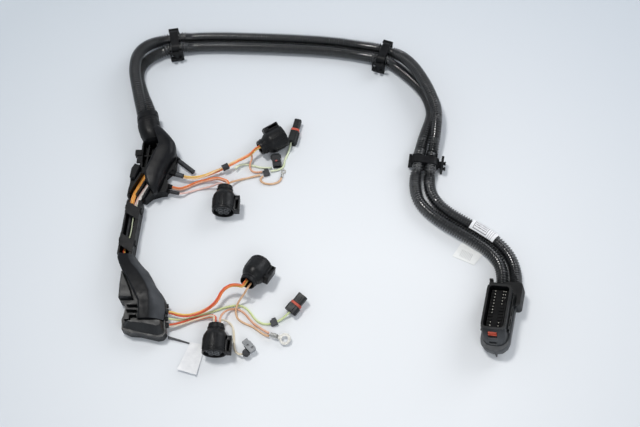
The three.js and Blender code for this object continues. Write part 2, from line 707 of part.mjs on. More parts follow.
const LOWER_BASE_OUTLINE = [
  [-198.6, -99], [-199.4, -104], [-199.6, -125.6], [-199.4, -131], [-197.6, -135], [-193.4, -136.4],
  [-191.8, -143.3], [-193, -151.4], [-194.4, -155.5], [-193.6, -160], [-193.4, -165.4],
  [-184.9, -169.6], [-174.9, -170.2], [-165.9, -172.4], [-157.1, -174.4], [-151.8, -173.2],
  [-149, -168.6], [-150, -163], [-151.2, -152.8], [-150.2, -143.3], [-151.4, -135.2],
  [-155.7, -128.3], [-161.3, -121.5], [-167.2, -110.3], [-171.6, -103.3], [-178.6, -96.3],
  [-184.5, -90],
];

// [left x, left y, right x, right y, ridge share, top] for each station of arm and cover
const LOWER_COVER_STATIONS = [
  [-203.6, -82, -186.6, -85.5, 0.62, 20], [-203.4, -90, -183, -91, 0.56, 22],
  [-200.4, -98, -178, -97.4, 0.54, 24], [-196.2, -106, -171, -105, 0.58, 25.5],
  [-191, -114, -166.4, -112.6, 0.6, 26.5], [-187, -122, -162, -120.8, 0.64, 27],
  [-182.6, -130, -156.4, -128.4, 0.58, 27], [-178, -139, -152.2, -137, 0.46, 26.6],
  [-177, -149, -151, -147, 0.44, 25.6], [-177, -157.6, -152, -157.2, 0.46, 24],
];

function lowerCoverRings(bottom) {
  return LOWER_COVER_STATIONS.map(([leftX, leftY, rightX, rightY, ridge, top]) => {
    const across = (share, z) => [leftX + (rightX - leftX) * share, leftY + (rightY - leftY) * share, z];
    const height = top - bottom;
    return [
      across(0, bottom), across(0.98, bottom), across(1, bottom + height * 0.22),
      across(ridge + (1 - ridge) * 0.55, bottom + height * 0.72),
      across(ridge + 0.04, top - 0.8), across(ridge - 0.06, top),
      across(0.07, top), across(0, top - 1.6),
    ];
  });
}

function lowerCover() {
  const shell = loft(lowerCoverRings(BASE_HEIGHT + GAP));
  const armRoot = loft(lowerCoverRings(3).slice(0, 3));
  const seat = prism(polygon(inset(LOWER_BASE_OUTLINE, -GAP)), -1, BASE_HEIGHT + GAP);
  return cut(join(shell, cut(armRoot, seat)), ductRoom(), wirePath('duct_wire_orange', GAP));
}

function lowerBase() {
  const body = moulding(LOWER_BASE_OUTLINE, [[0, 1.2], [1.2, 0], [BASE_HEIGHT, 0]]);
  const frontSlope = loft([
    [[-193.4, -160], [-193.2, -165], [-175, -169.8], [-157, -173.4], [-150.4, -171.6], [-151.6, -158.4]]
      .map(([x, y]) => [x, y, BASE_HEIGHT - 1]),
    [[-187, -158.8], [-185.4, -160], [-171, -161.6], [-158, -164.4], [-154.6, -163.2], [-155, -158.4]]
      .map(([x, y]) => [x, y, 20]),
  ]);
  const leftBlock = moulding([[-198.4, -104], [-199, -118], [-198.8, -133.4], [-184.6, -133.4], [-189, -120], [-194, -110]],
    [[BASE_HEIGHT - 1, 0], [18, 0], [19.4, 1.4]]);
  const ribs = [-140.5, -146, -151.5].map((y) => block(10, 1.6, 7, -185, y, BASE_HEIGHT + 2.2));
  const post = block(5, 5, 8, -188.6, -154.6, BASE_HEIGHT + 2);
  const coverRoom = loft(lowerCoverRings(BASE_HEIGHT));
  const raised = cut(join(frontSlope, leftBlock, ...ribs, post), grown(coverRoom));
  return cut(join(body, raised, ...LOWER_EXITS.map(wireExit)), ductRoom());
}

// A cover's room, a little wider than the cover
function grown(solid) {
  const box = solid.boundingBox();
  const middle = [(box.min[0] + box.max[0]) / 2, (box.min[1] + box.max[1]) / 2, 0];
  const size = [box.max[0] - box.min[0], box.max[1] - box.min[1]];
  const scale = [1 + (4 * GAP) / size[0], 1 + (2 * GAP) / size[1], 1.03];
  return solid.translate(middle.map((value) => -value)).scale(scale).translate(middle);
}

// Round injector plugs, in their own frame: Y the way they mate, from the rear face

const INJECTOR_PLUGS = [
  { name: 'injector_plug_1', at: [-61.8, 45.6], azimuth: 33, tilt: 0, roll: 20 },
  { name: 'injector_plug_2', at: [-97.6, -2.6], azimuth: -91, tilt: 0, roll: 0 },
  { name: 'injector_plug_3', at: [-69.6, -119.4], azimuth: 63, tilt: -18, roll: 180 },
  { name: 'injector_plug_4', at: [-99.2, -160.4], azimuth: -92, tilt: 0, roll: 0 },
];
const PLUG_LENGTH = CAP_LENGTH + SHOULDER_LENGTH + RING_LENGTH;

function injectorShell() {
  const ring = RING_DIAMETER / 2;
  const cap = CAP_DIAMETER / 2;
  const entry = WIRE_ENTRY_DIAMETER / 2;
  const shoulder = CAP_LENGTH + SHOULDER_LENGTH;
  const bore = ring - RING_WALL;
  const body = turned([
    [0, WIRE_ENTRY_DEPTH], [entry, WIRE_ENTRY_DEPTH], [entry, 0], [cap - 0.8, 0], [cap, 1],
    [cap + 0.3, CAP_LENGTH - 1], [cap + 0.9, CAP_LENGTH], [ring - 0.6, shoulder], [ring, shoulder + 1],
    [ring, PLUG_LENGTH - 0.8], [ring - 0.7, PLUG_LENGTH], [bore, PLUG_LENGTH],
    [bore, PLUG_LENGTH - SOCKET_DEPTH], [0, PLUG_LENGTH - SOCKET_DEPTH],
  ], RING_SEGMENTS);
  const latchWidth = 4.6;
  const latch = prism(roundedRectangle(latchWidth + 2, RING_LENGTH - 1, 1.2), -5.5, 5.5, 1)
    .translate([-ring - latchWidth / 2 + 1, shoulder + RING_LENGTH / 2, 0]);
  const latchSlot = block(latchWidth - 1.6, 9, 20, -ring - latchWidth / 2 + 0.6, PLUG_LENGTH - 6, 0);
  const rails = [60, 120, 0].map((angle) => toSolid(
    new THREE.BoxGeometry(1.6, RING_LENGTH - 4, 1.2).translate(0, shoulder + RING_LENGTH / 2, ring - 0.1)
      .rotateY(radians(angle)),
  ));
  const windows = [35, 155, 275].map((angle) => toSolid(
    new THREE.BoxGeometry(3.4, 5, 8).translate(0, PLUG_LENGTH - 6, ring).rotateY(radians(angle)),
  ));
  const clampRib = turned([[0, 4.2], [cap + 0.9, 4.2], [cap + 0.9, 5.6], [0, 5.6]], RING_SEGMENTS);
  const outside = join(body, latch, clampRib, ...rails);
  const socket = turned([
    [0, PLUG_LENGTH - SOCKET_DEPTH], [bore, PLUG_LENGTH - SOCKET_DEPTH], [bore, PLUG_LENGTH + 1],
    [0, PLUG_LENGTH + 1],
  ], RING_SEGMENTS);
  return cut(outside, latchSlot, socket, ...windows);
}

// The four-way contact core: a stepped clover with a bore for each contact
function injectorCore() {
  const floor = PLUG_LENGTH - SOCKET_DEPTH + GAP;
  const front = PLUG_LENGTH - 1.6;
  const hub = toSolid(new THREE.CylinderGeometry(CORE_DIAMETER / 2, CORE_DIAMETER / 2 + 0.8, front - floor, 12)
    .translate(0, (front + floor) / 2, 0));
  const spots = [45, 135, 225, 315].map((angle) => [
    4.1 * Math.cos(radians(angle)), 4.1 * Math.sin(radians(angle)),
  ]);
  const towers = spots.map(([x, z]) => toSolid(
    new THREE.CylinderGeometry(2.8, 2.8, 2.4, 8).translate(x, front + 0.3, z),
  ));
  const bores = spots.map(([x, z]) => toSolid(
    new THREE.CylinderGeometry(CONTACT_DIAMETER / 2, CONTACT_DIAMETER / 2, 9, 6).translate(x, front, z),
  ));
  const key = toSolid(new THREE.BoxGeometry(2.2, front - floor, 2)
    .translate(0, (front + floor) / 2, CORE_DIAMETER / 2 + 0.6));
  return cut(join(hub, key, ...towers), ...bores);
}

// The front ring's lower edge rests on the bench, and a tilted plug's rear is held up by its wires
function injectorFrame({ at, azimuth, tilt, roll }) {
  const frame = new THREE.Group();
  const rim = RING_DIAMETER / 2 * Math.cos(radians(tilt)) + 0.2;
  frame.position.set(at[0], at[1], rim - PLUG_LENGTH * Math.sin(radians(tilt)));
  frame.rotation.set(radians(tilt), radians(roll), radians(azimuth - 90), 'ZXY');
  frame.updateMatrixWorld(true);
  return frame;
}
const injectorFrames = INJECTOR_PLUGS.map(injectorFrame);

// The last points of a wire that goes into an injector plug's rear, beside or above its axis
function plugEntry(number, side, height) {
  const level = injectorFrame({ ...INJECTOR_PLUGS[number - 1], roll: 0 });
  return [-5, -1.5, WIRE_ENTRY_DEPTH - GAP].map((y) => localPoint(level, [-side, y, height]));
}

// Small sensor plugs, in their own frame: Y the way they mate, from the rear face

const SENSOR_PLUGS = [
  {
    name: 'sensor_plug_upper', at: [-27.6, 56.4], azimuth: 76.5, tilt: 0, lift: 0.2,
    width: 8.6, height: 9, rear: 15, front: 12.4,
  },
  {
    name: 'sensor_plug_lower', at: [-26.6, -144.4], azimuth: 50, tilt: 12, lift: 1.2,
    width: 11, height: 8.6, rear: 8.6, front: 10,
  },
];

function lengthwise(shape, from, to) {
  return toSolid(new THREE.ExtrudeGeometry(shape, {
    depth: to - from, bevelEnabled: false, curveSegments: 2,
  }).rotateX(Math.PI / 2).translate(0, to, 0));
}

function sensorNeck({ width, height }, clearance) {
  const drawnIn = SENSOR_NECK - 2 * clearance;
  return roundedRectangle(width - drawnIn, height - drawnIn, 2);
}

function sensorShell(size) {
  const { width, height, rear, front } = size;
  const length = rear + SEAL_WIDTH + front;
  const rearBlock = lengthwise(roundedRectangle(width + 1, height + 0.6, 1.6), 0, rear);
  const neck = lengthwise(sensorNeck(size, 0), rear - 1, rear + SEAL_WIDTH + 1);
  const frontBlock = lengthwise(roundedRectangle(width - 0.6, height - 0.6, 2.2), rear + SEAL_WIDTH, length);
  const latch = block(4, rear - 1, 1.6, 0, rear / 2, height / 2 + 0.6);
  const sideRail = block(1.6, rear - 1, 3.6, width / 2 + 0.7, rear / 2, 0.4);
  const ramp = block(3, front - 4, 1, 0, length - front / 2, height / 2 - 0.1);
  const mouth = lengthwise(roundedRectangle(width - 3.4, height - 3.4, 1.4), length - 8, length + 1);
  const wireEntry = toSolid(new THREE.CylinderGeometry(2.4, 2.4, 6, 10));
  return cut(join(rearBlock, neck, frontBlock, latch, sideRail, ramp), mouth, wireEntry);
}

function sensorSeal(size) {
  const { width, height, rear } = size;
  const from = rear + GAP;
  const to = rear + SEAL_WIDTH - GAP;
  const outline = lengthwise(roundedRectangle(width + 0.6, height + 0.6, 2.6), from, to);
  const bore = lengthwise(sensorNeck(size, GAP), from - 1, to + 1);
  return cut(outline, bore);
}

function sensorFrame({ at, azimuth, tilt, lift, height }) {
  const frame = new THREE.Group();
  frame.position.set(at[0], at[1], (height / 2 + 0.3) * Math.cos(radians(tilt)) + lift);
  frame.rotation.set(radians(tilt), 0, radians(azimuth - 90), 'ZXY');
  frame.updateMatrixWorld(true);
  return frame;
}
const sensorFrames = SENSOR_PLUGS.map(sensorFrame);

function localPoint(frame, point) {
  return new THREE.Vector3(...point).applyMatrix4(frame.matrixWorld).toArray();
}

// Small fittings

function flatPlug() {
  const body = prism(roundedRectangle(9.4, 15, 1.6), 0, 6, 3);
  const wings = block(11.4, 3, 3.4, 0, 5.4, 2.4);
  const lock = block(6, 4, 2, 0, -1, 6.4);
  const mouth = block(6.4, 6, 3, 0, -6, 3.2);
  return cut(join(body, wings, lock), mouth);
}

function terminalHousing() {
  const body = prism(roundedRectangle(7.6, 11, 1.6), 0, 5, 3);
  const nose = block(6.2, 5, 4.4, 0, 6.6, 2.4);
  const mouths = [-1.5, 1.5].map((x) => block(1.6, 6, 2, x, 8.6, 2.4));
  const windows = [[-0.8, 2.4], [1.2, -2.4]].map(([x, y]) => block(2.6, 2.2, 3, x, y, 5));
  return cut(join(body, nose), ...mouths, ...windows);
}

// The soft boot beside the terminal housing, where its wire goes in
function terminalBoot() {
  const outline = [[-65.1, -189.15], [-69.7, -183.65], [-72.8, -187], [-72.2, -191.4], [-68, -192.2]];
  return moulding(outline.reverse(), [[4, 0.8], [4.8, 0], [8, 0], [8.8, 0.8]].map(([z, d]) => [z, -d]));
}

function spliceClip() {
  const body = prism(roundedRectangle(7, 6, 1), 0.3, 4.2, 2);
  const hook = block(4.4, 2, 3, 1, 3.4, 2.4);
  const grooves = [-1.6, 1.4].map((x) => block(0.9, 8, 1, x, 0, 4.2));
  return cut(join(body, hook), ...grooves);
}

// A crimped ring terminal, in its own frame: the wire comes in along +Y from the origin
function ringTerminal(eyeOuter, eyeInner, barrel, length) {
  const thickness = 1;
  const eye = new THREE.Shape();
  eye.absarc(0, 0, eyeOuter / 2, 0, 2 * Math.PI);
  const hole = new THREE.Path();
  hole.absarc(0, 0, eyeInner / 2, 0, 2 * Math.PI, true);
  eye.holes.push(hole);
  const ring = prism(eye, -thickness / 2, thickness / 2, 9)
    .translate([0, length + 2 + eyeOuter / 2, -barrel / 2 + thickness / 2]);
  const sleeve = toSolid(new THREE.CylinderGeometry(barrel / 2, barrel / 2, length, 8)
    .translate(0, length / 2, 0));
  const tongue = block(barrel * 0.8, 5, thickness, 0, length + 1, -barrel / 2 + thickness / 2);
  const socket = toSolid(new THREE.CylinderGeometry(barrel / 2 - 0.6, barrel / 2 - 0.6, 4, 8));
  return cut(join(sleeve, tongue, ring), socket);
}

// Wires: the routes are [x, y, z], followed to their exact ends

const ROUTES = {
  duct_wire_orange: { diameter: 4, points: [
    [-183.9, 13, 9.4], [-187.2, 6.6, 9.8], [-190.4, -1.8, 10.6], [-193.2, -9.6, 11], [-195, -16, 10.8],
    [-195.8, -22, 9.8], [-196.2, -30, 8.6], [-197.1, -42, 7.4], [-198.2, -56, 7.2], [-199.2, -69, 8],
    [-199.4, -78, 9.4], [-197.6, -85, 10.6],
  ] },
  duct_wire_white: { diameter: 4.4, points: [
    [-178.5, 2, 9.8], [-181, -3, 10], [-183.5, -7.6, 10.2], [-185.9, -12.2, 10.4], [-188, -17, 10.2],
    [-189.5, -22, 9.4],
    [-190.2, -28, 8.4], [-191.2, -38, 7], [-192.2, -50, 6.6], [-193, -62, 6.6], [-193.6, -72, 6.8],
  ] },
  duct_wire_green: { diameter: 1.8, points: [
    [-190, -25, 13.4], [-191, -31, 13.2], [-192.4, -38, 12.8], [-193, -47, 12.6], [-193.4, -56, 12.6],
    [-194.4, -64, 12.8], [-196, -71, 13], [-198, -77, 13.4],
  ] },
  wire_upper_tan: { diameter: PAIR_DIAMETER, points: [
    [-143.2, 12, 8.8], [-138, 11.6, 7.6], [-131, 12, 6.4], [-124, 13.6, 6], [-117, 16.2, 6],
    [-110, 19.4, 6.6], [-102, 22.8, 7.8], [-95.6, 26, 8.6], [-89, 29.4, 9.4], [-80, 34, 10.4],
    [-71.5, 39.2, 11.6], ...plugEntry(1, 1.6, 0.4),
  ] },
  wire_upper_orange: { diameter: PAIR_DIAMETER, points: [
    [-155.1, 0.1, 6.4], [-151.6, -0.7, 6], [-147.2, -0.6, 4.4], [-141.6, 1.8, 2.8], [-135.2, 5.2, 2.3],
    [-128.2, 8.4, 2.3], [-121, 10.2, 2.6], [-113.6, 10.8, 5], [-106.4, 9.6, 8.6], [-100.6, 6.2, 12],
    ...plugEntry(2, 2.2, 1.4),
  ] },
  wire_upper_pink: { diameter: WIRE_DIAMETER, points: [
    [-146.8, -7.5, 6], [-143.4, -6.8, 5], [-138.4, -4.2, 2.6], [-132, -1.4, 1.4], [-125, 0.8, 1.4],
    [-118, 2, 2.6], [-111, 2.4, 6], [-105.4, 3, 9.6], ...plugEntry(2, -3, -2.6),
  ] },
  wire_upper_green: { diameter: WIRE_DIAMETER, points: [
    [-88.4, 23.8, 6], [-85.4, 27.6, 4.6], [-81.4, 30.6, 3], [-75.4, 31.4, 1.6], [-68.6, 29.8, 1.3],
    [-60.3, 27.8, 1.3], [-53, 27.2, 1.6], [-49, 27, 2.6],
  ] },
  wire_upper_pink_loop: { diameter: WIRE_DIAMETER, points: [
    [-70.6, 36.6, 6.8], [-71.4, 34, 4.8], [-72.4, 31, 4.2], [-72.6, 27, 3], [-70.8, 23.6, 1.6],
    [-66.6, 21.8, 1.3], [-62.6, 21.8, 1.6], [-59.2, 21.7, 2.2],
  ] },
  wire_upper_brown: { diameter: WIRE_DIAMETER, points: [
    ...plugEntry(2, 3.2, -2.6).reverse(), [-93.8, 4.6, 8], [-90, 8, 5], [-85, 11, 2.6], [-79, 13.4, 1.3],
    [-72, 15.2, 1.3], [-66, 16.8, 1.6], [-61.4, 17.8, 2.2],
  ] },
  wire_upper_loop: { diameter: WIRE_DIAMETER, points: [
    [-58, 16.6, 2.2], [-60, 14.8, 1.6], [-60.8, 12, 1.3], [-58.4, 9, 1.3], [-54.6, 7.4, 1.3],
    [-50.2, 7, 1.3], [-45.6, 7.6, 1.3], [-41.4, 9.4, 1.3], [-39, 12, 1.5], [-38.2, 14.6, 1.8],
  ] },
  wire_upper_sensor: { diameter: WIRE_DIAMETER, points: [
    [-27.9, 58.8, 5], [-28.5, 55.4, 4.6], [-29.6, 51.4, 3], [-31, 47, 1.6], [-32.4, 43, 1.3],
    [-34.2, 38.6, 1.3], [-35.2, 33.4, 1.3], [-35.8, 30, 1.3], [-38.2, 26.6, 1.3], [-42, 24.8, 1.4],
    [-46.4, 23.6, 1.8], [-50, 22.8, 2.2],
  ] },
  wire_lower_c3: { diameter: PAIR_DIAMETER, points: [
    [-148.1, -145.9, 9.4], [-144.6, -146.5, 9.2], [-139.3, -148, 8.2], [-133.6, -148.9, 7.4],
    [-128, -148.7, 7], [-122.6, -147.4, 7], [-117.6, -145.6, 7], [-112, -142.8, 7.4],
    [-107, -139.6, 8.2], [-102.4, -135.8, 9.2], [-98.8, -131, 10.6], [-96, -126, 12], [-91.6, -121.8, 14],
    [-86, -119.6, 16], [-80.4, -120, 18], ...plugEntry(3, 2.4, -0.6),
  ] },
  wire_lower_c4: { diameter: PAIR_DIAMETER, points: [
    [-147.1, -159.1, 7.2], [-143.8, -158.6, 6.8], [-138, -156.8, 5], [-131.4, -154.2, 3.4], [-123.6, -151.4, 2.4],
    [-116, -149.4, 2.4], [-109.6, -148.6, 4.2], [-104.6, -149.4, 7.4], [-101.6, -152, 10.6],
    ...plugEntry(4, -2.2, 1.4),
  ] },
  wire_lower_pink: { diameter: WIRE_DIAMETER, points: [
    ...plugEntry(4, 3.2, 1.2).reverse(), [-95, -150.4, 11.4], [-92.6, -145.6, 8], [-89.4, -141.8, 4.6],
    [-84.8, -139.8, 2.4], [-79.4, -139.8, 1.6], [-74.6, -142.4, 1.4], [-70.4, -146.4, 1.4],
    [-66.8, -151, 1.4], [-62.4, -155.6, 1.6], [-57, -159.6, 2], [-51.6, -163.4, 2.8], [-47.2, -166.2, 3.8],
  ] },
  wire_lower_tan: { diameter: WIRE_DIAMETER, points: [
    ...plugEntry(3, -2.8, -2.4).reverse(), [-72.6, -127.4, 13.6], [-75, -129.6, 10.4], [-77.4, -132, 7.6],
    [-79.6, -135.4, 5.4], [-81, -139.8, 4.6], [-81.2, -144.6, 3.2], [-79.4, -149.4, 1.6],
    [-75.4, -153, 1.3], [-70, -155.8, 1.3], [-64.6, -158.2, 1.3], [-59.6, -161.6, 1.3],
    [-55, -165.2, 1.6], [-50.6, -168, 2.6], [-47, -169.4, 3.8],
  ] },
  wire_lower_sensor: { diameter: WIRE_DIAMETER, points: [
    [-25.6, -143.6, 6.2], [-28.4, -145.8, 5.2], [-31.2, -148, 3.6], [-34.2, -150.2, 2.4], [-38.4, -152.8, 2.2],
  ] },
  wire_lower_green: { diameter: WIRE_DIAMETER, points: [
    [-148.1, -152.6, 8], [-144.4, -152.7, 7], [-139.4, -152.2, 4.2], [-134, -151, 1.8], [-128, -149.4, 1.3],
    [-122, -147.4, 1.3], [-116, -145.6, 1.3], [-109, -143.4, 1.3], [-102, -141, 1.3], [-95, -138.4, 1.3],
    [-88, -136.4, 1.3], [-82, -135.4, 1.3], [-76.6, -135.8, 1.3], [-72, -138, 1.3], [-67.4, -142.4, 1.3],
    [-63.4, -148, 1.3], [-59, -152.6, 1.3], [-54, -155.2, 1.3], [-50, -155.8, 1.6], [-46.6, -155.6, 2.2],
  ] },
  wire_lower_terminal: { diameter: WIRE_DIAMETER, points: [
    ...plugEntry(4, 3.2, -2.8).reverse(), [-92, -153.4, 6], [-88, -154.6, 3], [-84.6, -158, 1.3],
    [-83, -163, 1.3], [-82.4, -169, 1.3], [-82, -175, 1.3], [-81.4, -180.4, 1.4], [-80.2, -184.8, 2.2],
    [-77.8, -187.8, 3.6], [-75.4, -189.1, 5], [-72.95, -189.3, 6.2],
  ] },
};

function wirePath(name, clearance = 0) {
  const { diameter, points } = ROUTES[name];
  const step = diameter > 3 ? diameter * 2.2 : diameter * 2.8;
  return tubeAlong(points, diameter + 2 * clearance, WIRE_SIDES, step);
}

// A sleeve over part of a wire's route
function sleeveOn(name, first, last, diameter) {
  const { points } = ROUTES[name];
  const outer = tubeAlong(points.slice(first, last + 1), diameter, 12, 4);
  return cut(outer, wirePath(name, GAP));
}

// Tags

function wrapLabel() {
  const route = conduitRoute(true);
  const from = route.length - 9;
  const outer = tubeAlong(route.slice(from, from + 3), CONDUIT_DIAMETER + 2 * (GAP + LABEL_THICKNESS), 14, 7);
  return cut(outer, conduit(true, GAP), conduit(false, GAP), block(900, 900, 20, 0, 0, -7.4));
}

function flagTag() {
  return cut(
    prism(polygon([[142.4, -79.2], [154.9, -61], [177, -74.4], [164.2, -89.6]]), 0.05, 0.05 + TAG_THICKNESS),
    bothConduits(GAP),
  );
}

// A white tag that curls up a little towards its loose end
function whiteTag() {
  const rows = 6;
  const rings = [];
  for (let i = 0; i <= rows; i += 1) {
    const share = i / rows;
    const left = [-125.6 - 11.4 * share, -174.4 - 29.6 * share];
    const right = [-110.8 - 6.8 * share, -178 - 31.8 * share];
    const lift = 0.5 + 3 * share ** 3;
    rings.push([
      [...left, lift], [...right, lift], [...right, lift + TAG_THICKNESS], [...left, lift + TAG_THICKNESS],
    ]);
  }
  return loft(rings);
}

function tagTie() {
  return loft([
    [[-148.2, -168.6, 0.8], [-148.2, -171.4, 0.8], [-148.2, -171.4, 2.2], [-148.2, -168.6, 2.2]],
    [[-140, -171.2, 0.6], [-140.6, -173, 0.6], [-140.6, -173, 1.8], [-140, -171.2, 1.8]],
    [[-126.3, -175.3, 0.5], [-126.8, -176.7, 0.5], [-126.8, -176.7, 0.9], [-126.3, -175.3, 0.9]],
  ]);
}

// The harness

const harness = new THREE.Group();

function add(name, solid, material, frame = harness) {
  const mesh = new THREE.Mesh(toGeometry(solid), material);
  mesh.name = name;
  frame.add(mesh);
  return mesh;
}

function placed(at, azimuth, z = 0, tilt = 0, roll = 0) {
  const frame = new THREE.Group();
  frame.position.set(at[0], at[1], z);
  frame.rotation.set(radians(tilt), radians(roll), radians(azimuth - 90), 'ZXY');
  harness.add(frame);
  return frame;
}

add('conduit_outer', conduit(true), BLACK_RIBBED());
add('conduit_inner', conduit(false), BLACK_RIBBED());
for (const [name, { at, azimuth, turned: isTurned }] of Object.entries(CLIPS)) {
  add(name, conduitClip(), BLACK_PLASTIC(), placed(at, isTurned ? azimuth + 180 : azimuth));
}
add('conduit_label', wrapLabel(), WHITE_LABEL());
add('conduit_tag', flagTag(), WHITE_LABEL());

harness.add(plugFrame);
add('plug_backshell', plugBackshell(), GREY_PLASTIC(), plugFrame);
add('plug_housing', plugHousing(), BLACK_PLASTIC(), plugFrame);
add('plug_insert', plugInsert(), BLACK_PLASTIC(), plugFrame);
add('plug_lock', plugLock(), RED_PLASTIC(), plugFrame);

add('upper_base', upperBase(), BLACK_PLASTIC());
add('upper_cover', upperCover(), BLACK_PLASTIC());
add('upper_boot', upperBoot(), BLACK_PLASTIC());
harness.add(ductFrame);
add('duct_channel', ductChannel(), BLACK_PLASTIC(), ductFrame);
add('lower_base', lowerBase(), GREY_PLASTIC());
add('lower_cover', lowerCover(), BLACK_PLASTIC());

INJECTOR_PLUGS.forEach(({ name }, i) => {
  harness.add(injectorFrames[i]);
  add(name, injectorShell(), BLACK_PLASTIC(), injectorFrames[i]);
  add(`${name}_core`, injectorCore(), BLACK_PLASTIC(), injectorFrames[i]);
});
SENSOR_PLUGS.forEach((plug, i) => {
  harness.add(sensorFrames[i]);
  add(plug.name, sensorShell(plug), GREY_PLASTIC(), sensorFrames[i]);
  add(`${plug.name}_seal`, sensorSeal(plug), RED_RUBBER(), sensorFrames[i]);
});
add('flat_plug', flatPlug(), BLACK_PLASTIC(), placed([-43.8, 35.2], 99, 0.2));
add('terminal_housing', terminalHousing(), PALE_GREY_PLASTIC(), placed([-65.4, -182.2], 130, 4.2));
add('terminal_boot', terminalBoot(), HEAT_SHRINK());
add('splice_clip_upper', spliceClip(), BLACK_PLASTIC(), placed([-54.6, 20.2], 110));
add('splice_clip_lower', spliceClip(), BLACK_PLASTIC(), placed([-42.6, -154.4], 110));
add('ring_terminal_upper', ringTerminal(5.6, 3, 2.8, 3), TINNED(), placed([-37.8, 15.4], 76, 1.8));
add('ring_terminal_lower', ringTerminal(12, 6.4, 4.8, 7), TINNED(), placed([-45.4, -168], -20, 4.6, 6, 14));

add('sleeve_blank', rod(5.4, 22, 10), HEAT_SHRINK(), placed([-141.9, 26.7], -40, 5));
add('sleeve_grey', rod(5.6, 8.4, 10), GREY_PLASTIC(), placed([-147.8, 13.6], -18, 8.8));
add('sleeve_dark', rod(4.2, 9.4, 8), HEAT_SHRINK(), placed([-152, -6.4], -12, 6.2));
add('sleeve_tape', sleeveOn('wire_upper_tan', 6, 7, 7), HEAT_SHRINK());

add('tag_tie', tagTie(), GREY_PLASTIC());
add('white_tag', whiteTag(), WHITE_LABEL());

const WIRE_COLOURS = {
  duct_wire_orange: 0xe9913a,
  duct_wire_white: 0xe8d2cc,
  duct_wire_green: 0xb7b85a,
  wire_upper_tan: 0xd9b273,
  wire_upper_orange: 0xe06f35,
  wire_upper_pink: 0xe6c3bd,
  wire_upper_green: 0xc9d4b4,
  wire_upper_pink_loop: 0xe2b9a6,
  wire_upper_brown: 0xc79a7c,
  wire_upper_loop: 0xd9ab8f,
  wire_upper_sensor: 0xd5dcc6,
  wire_lower_c3: 0xe48643,
  wire_lower_c4: 0xe0653b,
  wire_lower_pink: 0xe0a284,
  wire_lower_tan: 0xdcb184,
  wire_lower_sensor: 0xcfd6bf,
  wire_lower_green: 0xb9c873,
  wire_lower_terminal: 0xddd6c4,
};
for (const [name, colour] of Object.entries(WIRE_COLOURS)) {
  add(name, wirePath(name), WIRE(colour));
}

export default harness;
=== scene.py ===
"""Looks of an engine wiring harness that lies flat on a bench.

Two ribbed conduits run from a long multi-way plug round a wide bend into an upper branch
housing. A duct leads on to a lower one. Insulated wires fan out from both housings to round
injector plugs, small sensor plugs and terminals. All sizes are metres in the model's frame.
"""

import math

import bmesh
import bpy
from mathutils import Matrix, Vector


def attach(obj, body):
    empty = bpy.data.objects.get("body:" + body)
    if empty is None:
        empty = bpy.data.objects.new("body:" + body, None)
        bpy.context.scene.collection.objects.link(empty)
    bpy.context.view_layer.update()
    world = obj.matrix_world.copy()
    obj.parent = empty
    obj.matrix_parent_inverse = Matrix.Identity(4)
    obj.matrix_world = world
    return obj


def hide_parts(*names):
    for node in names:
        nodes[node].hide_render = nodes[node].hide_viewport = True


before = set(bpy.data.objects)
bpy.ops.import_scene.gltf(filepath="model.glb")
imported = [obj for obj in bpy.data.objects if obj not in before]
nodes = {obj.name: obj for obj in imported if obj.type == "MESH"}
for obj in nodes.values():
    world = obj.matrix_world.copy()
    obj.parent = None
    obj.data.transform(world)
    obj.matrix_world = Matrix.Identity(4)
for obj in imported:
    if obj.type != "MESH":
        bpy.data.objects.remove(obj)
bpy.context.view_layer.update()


# Camera and light

CAMERA_PLACE = (0.004, -0.5308, 0.9448)
CAMERA_AIM = (0.004, -0.0285, 0)
CAMERA_LENS = 56.25


def make_camera():
    data = bpy.data.cameras.new("camera")
    data.lens = CAMERA_LENS
    data.sensor_width = 36
    data.clip_start = 0.01
    data.clip_end = 20
    camera = bpy.data.objects.new("camera", data)
    camera.location = CAMERA_PLACE
    aim = Vector(CAMERA_AIM) - camera.location
    camera.rotation_euler = aim.to_track_quat("-Z", "Y").to_euler()
    bpy.context.scene.collection.objects.link(camera)
    bpy.context.scene.camera = camera


def make_light(name, size, power, place, target, tint):
    data = bpy.data.lights.new(name, "AREA")
    data.shape = "DISK"
    data.size = size
    data.energy = power
    data.color = tint
    light = bpy.data.objects.new(name, data)
    light.location = place
    light.rotation_euler = (Vector(target) - Vector(place)).to_track_quat("-Z", "Y").to_euler()
    bpy.context.scene.collection.objects.link(light)


def make_room():
    world = bpy.data.worlds.new("room")
    world.use_nodes = True
    tree = world.node_tree
    background = tree.nodes["Background"]
    background.inputs["Color"].default_value = (0.90, 0.94, 1.0, 1)
    split = tree.nodes.new("ShaderNodeSeparateXYZ")
    place = tree.nodes.new("ShaderNodeTexCoord").outputs["Generated"]
    tree.links.new(place, split.inputs["Vector"])
    darker_above = tree.nodes.new("ShaderNodeMapRange")
    darker_above.inputs["From Min"].default_value = 0.3
    darker_above.inputs["From Max"].default_value = 0.85
    darker_above.inputs["To Min"].default_value = 0.85
    darker_above.inputs["To Max"].default_value = 0.2
    tree.links.new(split.outputs["Z"], darker_above.inputs["Value"])
    tree.links.new(darker_above.outputs["Result"], background.inputs["Strength"])
    bpy.context.scene.world = world
    make_light("key", 0.35, 16.5, (-0.5, 0.3, 1.7), (0, -0.03, 0), (1.0, 0.985, 0.96))
    make_light("fill", 1.2, 7, (0.5, -1.3, 1.5), (0, 0, 0), (0.95, 0.97, 1.0))
    make_light("window", 0.9, 7, (1.05, 0.8, 0.85), (0, -0.05, 0), (0.97, 0.98, 1.0))
    bm = bmesh.new()
    bmesh.ops.create_grid(bm, x_segments=2, y_segments=2, size=4)
    floor = mesh_object("floor", bm, floor_finish())
    bpy.context.scene.view_settings.view_transform = "Standard"


# Materials

